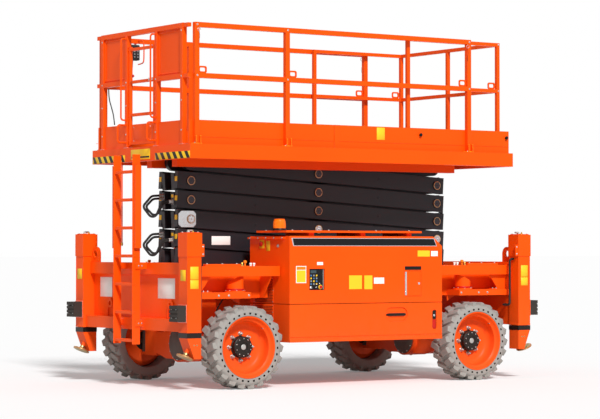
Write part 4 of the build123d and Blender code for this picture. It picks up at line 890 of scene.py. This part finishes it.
# platform: chequer floor, hazard stripes, blank plates, gate, guard fittings and control box
chequer = {"pitch": 0.048, "flat": 0.45, "lean": 45.0, "floors": {  # x range, half width, top
    "platform": (-1.99, 2.0, 0.9, 2.4572), "extension": (0.68, 2.0, 0.86, 2.4992)}}
sheets = {
    "deck_floor_sheet": ("platform", (-2.02, -0.912, 2.4565), (2.02, 0.912, 2.4574)),
    "extension_floor_sheet": ("extension", (0.652, -0.866, 2.4985), (2.028, 0.866, 2.4994)),
}
lozenge = bmesh.new()
lozengeProfile = ((0, 0), (0.004, 0.0028), (0.016, 0.004), (0.028, 0.0028), (0.032, 0))
addTurned(lozenge, (-0.016, 0, 0), (1, 0, 0), lozengeProfile, 6)
for vertex in lozenge.verts:
    vertex.co.z *= chequer["flat"]
lozengeUnit = unitFrom(lozenge, "chequer_unit")
for body, (low, high, half, top) in chequer["floors"].items():
    places = []
    pitch = chequer["pitch"]
    for row in range(int((high - low) / pitch)):
        for column in range(int(2 * half / pitch)):
            turn = math.radians(chequer["lean"] if (row + column) % 2 else -chequer["lean"])
            places.append(((low + pitch * (row + 0.5), -half + pitch * (column + 0.5), top), (0, 0, turn)))
    repeatAt("chequer_" + body, places, lozengeUnit, "floorSteel", body)
for name, (body, low, high) in sheets.items():
    shape = bmesh.new()
    addBlock(shape, low, high, 0, 0.0003)
    makePiece(shape, name, body, ("floorSteel",))

stripes = {"bands": ((0.306, 0.997), (-1.002, -0.313)), "z": (2.315, 2.385), "width": 0.06, "lean": 0.05,
           "plateX": (-2.0662, -2.0645), "paintX": -2.0668, "least": 0.01}
shape = bmesh.new()
back, front = stripes["plateX"]
bottom, top = stripes["z"]
for low, high in stripes["bands"]:
    addBlock(shape, (back, low, bottom), (front, high, top), 0, 0.0003)
    count = int((high - low) / (2 * stripes["width"]))
    for step in range(count + 1):
        start = low + step * 2 * stripes["width"]
        foot = min(start + stripes["width"], high)
        edge = (foot, min(start + stripes["width"] + stripes["lean"], high),
                min(start + stripes["lean"], high))
        spots = [(stripes["paintX"], y, z) for y, z in zip((start, *edge), (bottom, bottom, top, top))]
        if foot - start > stripes["least"]:
            addPrism(shape, spots, (0.0012, 0, 0), 1)
addBlock(shape, (back, -0.212, 2.33), (front, 0.18, 2.435), 0, 0.0003)
addBlock(shape, (-2.067, -0.196, 2.345), (-2.065, 0.164, 2.362), 1, 0.0002)
makePiece(shape, "step_stripes", "platform", ("yellow", "gloss"))

guard = {
    "posts": (-1.97, -0.884, 1.478), "rails": (3.142, 3.65), "floor": 2.4572, "foot": 2.4652,
    "pins": (-1.95, 1.455), "stud": ((0, 0.011), (0.004, 0.01), (0.006, 0)),
    "stopY": {-1: (-1.013, -0.984), 1: (0.964, 0.993)}, "knobs": (0.842, 2.02),
    "knob": ((0, 0.008), (0.012, 0.008), (0.014, 0.017), (0.026, 0.019), (0.032, 0.014), (0.033, 0)),
    "cord": ((0, 0.987, 3.582), (0.01, 0.99, 3.53), (-0.01, 0.99, 3.48), (0, 0.986, 3.44)),
    "ring": [*around(12, 0.018), (0.018, 0.0)],
}
for word, side in sides.items():
    out = (0, side, 0)
    shape = bmesh.new()
    addBlock(shape, (0.274, side * 0.9355, 2.56), (0.379, side * 0.9367, 2.69), 0, 0.0004)
    for x in guard["knobs"]:
        addRound(shape, (x, side * 0.935, 2.627), out, guard["knob"], 24, 1)
    addBar(shape, (-2.06, side * 0.9365, 2.5305), (2.06, side * 0.9365, 2.5305), 0.0022, 6, 3)
    low, high = guard["stopY"][side]
    for x in guard["posts"]:
        for a in (x - 0.026, x + 0.026):
            addBlock(shape, (a - 0.004, low, 2.458), (a + 0.004, high, 2.54), 3, 0.001)
        near, far = (x - 0.045, side * 0.918, guard["floor"]), (x + 0.045, side * 1.002, guard["foot"])
        addBlock(shape, near, far, 3, 0.002)
        addEach(addBolt, shape, (x - 0.034, x + 0.034), (side * 0.994,), (2.465,), up, 0.006, 2)
    addEach(addRound, shape, guard["posts"], (side * 0.985,), guard["rails"], out, guard["stud"], 14, 2)
    # folding-rail lock pin with its ring and lanyard
    for x in guard["pins"]:
        addBar(shape, (x, side * 0.95, 3.668), (x, side * 0.95, 3.6748), 0.01, 12, 2)
        addPipe(shape, [(x + a, side * 0.9875, 3.6 + b) for a, b in guard["ring"]], 0.0022, 6, 2)
        addPipe(shape, [(x + a, side * y, z) for a, y, z in guard["cord"]], 0.0016, 6, 1)
    makePiece(shape, "guard_fittings_" + word, "platform", ("yellow", "gloss", "zinc", "orange"))

endGuard = {
    "studY": (0.305, 0.815), "studZ": (2.6, 2.9, 3.142, 3.6),
    "stud": ((0, 0.009), (0.003, 0.008), (0.005, 0)), "panelY": (0.345, 0.775), "panelZ": (3.185, 3.605),
    "panelX": -2.036, "hooks": (2.515, 2.7, 2.75, 3.6),
    "hook": ((0, 0), (0, 0.0155), (0.004, 0.0155), (0.006, 0.01), (0.006, 0.0092), (0.0, 0.0092)),
    "hose": ((-2.058, 0.668, 3.1), (-2.062, 0.66, 3.0), (-2.062, 0.6, 2.9), (-2.062, 0.55, 2.8),
             (-2.06, 0.537, 2.712)),
    "rope": (-2.045, 0.402), "plumb": ((0, 0.011), (0.022, 0.011), (0.034, 0.005), (0.04, 0)),
    "button": ((0, 0.008), (0.008, 0.008), (0.01, 0.016), (0.018, 0.016), (0.021, 0)),
}
shape = bmesh.new()
for side in (-1, 1):
    rows = [side * y for y in endGuard["studY"]]
    addEach(addRound, shape, (-2.055,), rows, endGuard["studZ"], backward, endGuard["stud"], 12)
    for y in rows:
        addBlock(shape, (-2.0625, y - 0.04, guard["floor"]), (-1.9975, y + 0.04, guard["foot"]), 1, 0.002)
    # pressed panel frames with rounded bars
    x = endGuard["panelX"]
    inner, outer = (side * y for y in endGuard["panelY"])
    low, high = endGuard["panelZ"]
    for z in (low, high):
        addBar(shape, (x, inner, z), (x, outer, z), 0.007, 8, 1)
    for y in (inner, outer):
        addBar(shape, (x, y, low), (x, y, high), 0.007, 8, 1)
    for z in endGuard["hooks"]:
        addTurned(shape, (-2.055, side * 0.305, z), backward, endGuard["hook"], 20, 1)
addPipe(shape, endGuard["hose"], 0.006, 8, 2)
addBar(shape, (*endGuard["rope"], 2.312), (*endGuard["rope"], 1.47), 0.0075, 12, 1)
addRound(shape, (*endGuard["rope"], 1.475), (0, 0, -1), endGuard["plumb"], 16, 3)
addRound(shape, (-2.055, 0.137, 3.2), backward, endGuard["button"], 20, 4)
makePiece(shape, "end_guard_fittings", "platform", ("zinc", "orange", "rubber", "brass", "red"))

gateSet = {"hingeY": 0.247, "hingeZ": (2.535, 3.48), "plateY": 0.18, "plateZ": (2.52, 2.68), "rivetIn": 0.01,
           "collar": ((-0.004, 0.0192), (-0.004, 0.0225), (0.004, 0.0225), (0.004, 0.0192)),
           "rivet": ((0, 0.006), (0.003, 0.005), (0.004, 0))}
shape = bmesh.new()
for y in (-gateSet["hingeY"], gateSet["hingeY"]):
    for z in gateSet["hingeZ"]:
        addTurned(shape, (-2.03, y, z), up, gateSet["collar"], 24, 0, close=True)
addBlock(shape, (-2.052, -0.236, 3.135), (-2.043, -0.15, 3.165), 1, 0.002)
addBar(shape, (-2.046, -0.195, 3.15), (-2.07, -0.195, 3.15), 0.007, 12, 1)
half, (low, high), inset = gateSet["plateY"], gateSet["plateZ"], gateSet["rivetIn"]
addBlock(shape, (-2.0375, -half, low), (-2.0355, half, high), 0, 0.0006)
rows, heights = (-half + inset, half - inset), (low + inset, high - inset)
addEach(addRound, shape, (-2.0375,), rows, heights, backward, gateSet["rivet"], 10, 1)
makePiece(shape, "gate_fittings", "gate", ("orange", "zinc"))

box = {
    "low": (-1.705, 0.85, 3.435), "high": (-1.575, 0.925, 3.6), "hoopGap": 0.19,
    "stick": ((0, 0.016), (0.006, 0.014), (0.01, 0.006), (0.048, 0.005), (0.052, 0.011), (0.066, 0.009),
              (0.068, 0)),
    "stop": ((0, 0.008), (0.006, 0.008), (0.008, 0.015), (0.016, 0.014), (0.018, 0)),
    "switch": ((0, 0.008), (0.004, 0.007), (0.005, 0)), "switchX": (-1.68, -1.64, -1.6),
    "switchZ": (3.47, 3.5, 3.53),
    "hoop": ((0.935, 3.4), (0.83, 3.4), (0.815, 3.45), (0.815, 3.6), (0.83, 3.655), (0.935, 3.655)),
    "cable": ((-1.64, 0.9, 3.436), (-1.64, 0.91, 3.3), (-1.66, 0.925, 3.0), (-1.7, 0.93, 2.75),
              (-1.72, 0.925, 2.5)),
}
shape = bmesh.new()
addBlock(shape, box["low"], box["high"], 0, 0.008)
addBlock(shape, (-1.693, 0.86, 3.598), (-1.587, 0.915, 3.603), 1, 0.001)
addRound(shape, (-1.67, 0.888, 3.6), up, box["stick"], 20)
addRound(shape, (-1.61, 0.888, 3.602), up, box["stop"], 20, 2)
addEach(addRound, shape, box["switchX"], (0.85,), box["switchZ"], toward, box["switch"], 12, 1)
for x in (-1.735, -1.735 + box["hoopGap"]):
    addPipe(shape, [(x, y, z) for y, z in box["hoop"]], 0.007, 8, 3)
addPipe(shape, box["cable"], 0.009, 8, 0)
makePiece(shape, "upper_controls", "platform", ("rubber", "grey", "red", "orange"))

slide = {"posts": (0.72, 1.945), "footHalf": 0.034, "footY": (0.851, 0.903), "footZ": (2.4992, 2.5062),
         "stud": ((0, 0.01), (0.004, 0.009), (0.006, 0)), "seam": (0.652, 2.04), "bolts": (-0.6, 0.0, 0.6)}
shape = bmesh.new()
for side in (-1, 1):
    near, far = slide["footY"]
    low, high = slide["footZ"]
    for x in slide["posts"]:
        half = slide["footHalf"]
        addBlock(shape, (x - half, side * near, low), (x + half, side * far, high), 0, 0.002)
    addEach(addRound, shape, slide["posts"], (side * 0.904,), guard["rails"], (0, side, 0), slide["stud"],
            12, 1)
    low, high = slide["seam"]
    addBar(shape, (low, side * 0.8795, 2.53), (high, side * 0.8795, 2.53), 0.003, 6)
# locking pedal of the sliding deck
addBlock(shape, (1.96, -0.3, 2.53), (2.03, -0.16, 2.536), 2, 0.002)
addBar(shape, (1.99, -0.29, 2.552), (1.99, -0.17, 2.552), 0.009, 12, 2)
addEach(addBolt, shape, (2.05,), slide["bolts"], (2.6,), (1, 0, 0), 0.008, 1)
makePiece(shape, "extension_fittings", "extension", ("orange", "zinc", "gloss"))

# power pack details around the plain engine and tank
engine = {
    "ribs": 7, "ribPitch": 0.09, "airCan": ((0, 0.085), (0.14, 0.085), (0.16, 0.07)),
    "hub": ((0, 0.13), (0.03, 0.13), (0.05, 0.09)),
    "pulley": ((0, 0.2), (0.02, 0.2), (0.02, 0.17), (0.012, 0.16), (0.012, 0.05), (0.03, 0.04)),
    "hose": ((-0.2, 1.061, 1.1), (-0.2, 1.085, 1.1), (-0.1, 1.09, 1.2), (0.15, 1.085, 1.25),
             (0.3, 1.075, 1.15), (0.35, 1.061, 1.05)),
    "duct": ((0.25, 0.72, 1.43), (0.25, 0.72, 1.47), (0.1, 0.7, 1.48), (-0.15, 0.7, 1.42),
             (-0.25, 0.7, 1.34)),
}
shape = bmesh.new()
addBlock(shape, (-0.56, 0.56, 1.279), (0.1, 0.86, 1.345), 0, 0.012)
for count in range(engine["ribs"]):
    x = -0.52 + engine["ribPitch"] * count
    addBlock(shape, (x, 0.575, 1.343), (x + 0.045, 0.845, 1.352), 0, 0.003)
addRound(shape, (0.25, 0.72, 1.28), up, engine["airCan"], 32, 1)
addRound(shape, (-0.604, 0.78, 1.0), backward, engine["pulley"], 40, 2)
addRound(shape, (0.452, 0.72, 0.95), (1, 0, 0), engine["hub"], 32)
addPipe(shape, engine["hose"], 0.016, 10, 3)
addPipe(shape, engine["duct"], 0.03, 12, 3)
makePiece(shape, "engine_fittings", "chassis", ("cast", "grey", "gloss", "rubber"))

tank = {
    "top": 1.179, "valves": 4, "valvePitch": 0.08,
    "cap": ((0, 0.06), (0.02, 0.06), (0.03, 0.045), (0.05, 0.045), (0.055, 0)),
    "filter": ((0, 0.07), (0.1, 0.07), (0.12, 0.05)),
    "hose": ((0, -0.59, 1.225), (0, -0.545, 1.225), (0, -0.49, 1.2), (0.02, -0.47, 1.05),
             (0.02, -0.47, 0.8)),
}
shape = bmesh.new()
addRound(shape, (-0.35, -0.78, tank["top"]), up, tank["cap"], 28)
addRound(shape, (0.4, -0.78, tank["top"]), up, tank["filter"], 28, 1)
addBlock(shape, (-0.15, -0.9, tank["top"]), (0.2, -0.62, 1.27), 2, 0.006)
for count in range(tank["valves"]):
    x = -0.1 + tank["valvePitch"] * count
    addBar(shape, (x, -0.62, 1.225), (x, -0.585, 1.225), 0.016, 12, 1)
    addPipe(shape, [(x + a, y, z) for a, y, z in tank["hose"]], 0.01, 8, 3)
makePiece(shape, "tank_fittings", "chassis", ("gloss", "zinc", "darkSteel", "rubber"))
print("platform and power pack dressed")


def seenDirectly(tree):
    # 1 for rays from the camera, off shiny faces and through glass, 0 for the others
    rays = addNode(tree, "ShaderNodeLightPath").outputs
    direct = addMath(tree, "MAXIMUM", rays["Is Camera Ray"], rays["Is Glossy Ray"])
    return addMath(tree, "MAXIMUM", direct, rays["Is Transmission Ray"])


# floor, light and camera
stageSet = {"floorSize": 900.0, "floor": (236, 236, 236), "floorLift": 0.16, "sky": 0.34, "sun": 3.3,
            "sunSpread": 9.0, "sunWay": (0.25, 0.75, -0.61)}
bpy.ops.mesh.primitive_plane_add(size=stageSet["floorSize"])
floor = bpy.context.object
floor.name = "studio_floor"
floorMaterial = bpy.data.materials.new("studioFloor")
floorMaterial.use_nodes = True
tree = floorMaterial.node_tree
tree.nodes.clear()
lifted = addMath(tree, "MULTIPLY", seenDirectly(tree), stageSet["floorLift"])
pale = addNode(tree, "ShaderNodeBsdfDiffuse", {"Color": toLinear(*stageSet["floor"])})
lift = addNode(tree, "ShaderNodeEmission", {"Strength": lifted})
both = addNode(tree, "ShaderNodeAddShader", {0: pale.outputs["BSDF"], 1: lift.outputs["Emission"]})
addNode(tree, "ShaderNodeOutputMaterial", {"Surface": both.outputs["Shader"]})
floor.data.materials.append(floorMaterial)

world = bpy.data.worlds.new("studioSky")
scene.world = world
world.use_nodes = True
tree = world.node_tree
tree.nodes.clear()
skies = []
for strength in (stageSet["sky"], 1.0):
    background = addNode(tree, "ShaderNodeBackground", {"Color": (1, 1, 1, 1), "Strength": strength})
    skies.append(background.outputs["Background"])
mixed = addNode(tree, "ShaderNodeMixShader", {0: seenDirectly(tree), 1: skies[0], 2: skies[1]})
addNode(tree, "ShaderNodeOutputWorld", {"Surface": mixed.outputs["Shader"]})

lamp = bpy.data.lights.new("soft_sun", "SUN")
lamp.energy = stageSet["sun"]
lamp.angle = math.radians(stageSet["sunSpread"])
sun = bpy.data.objects.new("soft_sun", lamp)
sun.rotation_euler = Vector(stageSet["sunWay"]).to_track_quat("-Z", "Y").to_euler()
scene.collection.objects.link(sun)

cameraSet = {"place": (-13.629, -20.118, 1.389), "turn": (91.053, 0.0, -33.976), "lens": 134.78}
lens = bpy.data.cameras.new("main_view")
lens.lens = cameraSet["lens"]
lens.sensor_width = 36.0
lens.clip_end = 2000.0
camera = bpy.data.objects.new("main_view", lens)
camera.location = cameraSet["place"]
camera.rotation_euler = [math.radians(turn) for turn in cameraSet["turn"]]
scene.collection.objects.link(camera)
scene.camera = camera
scene.view_settings.view_transform = "Standard"
print("stage, light and camera set")
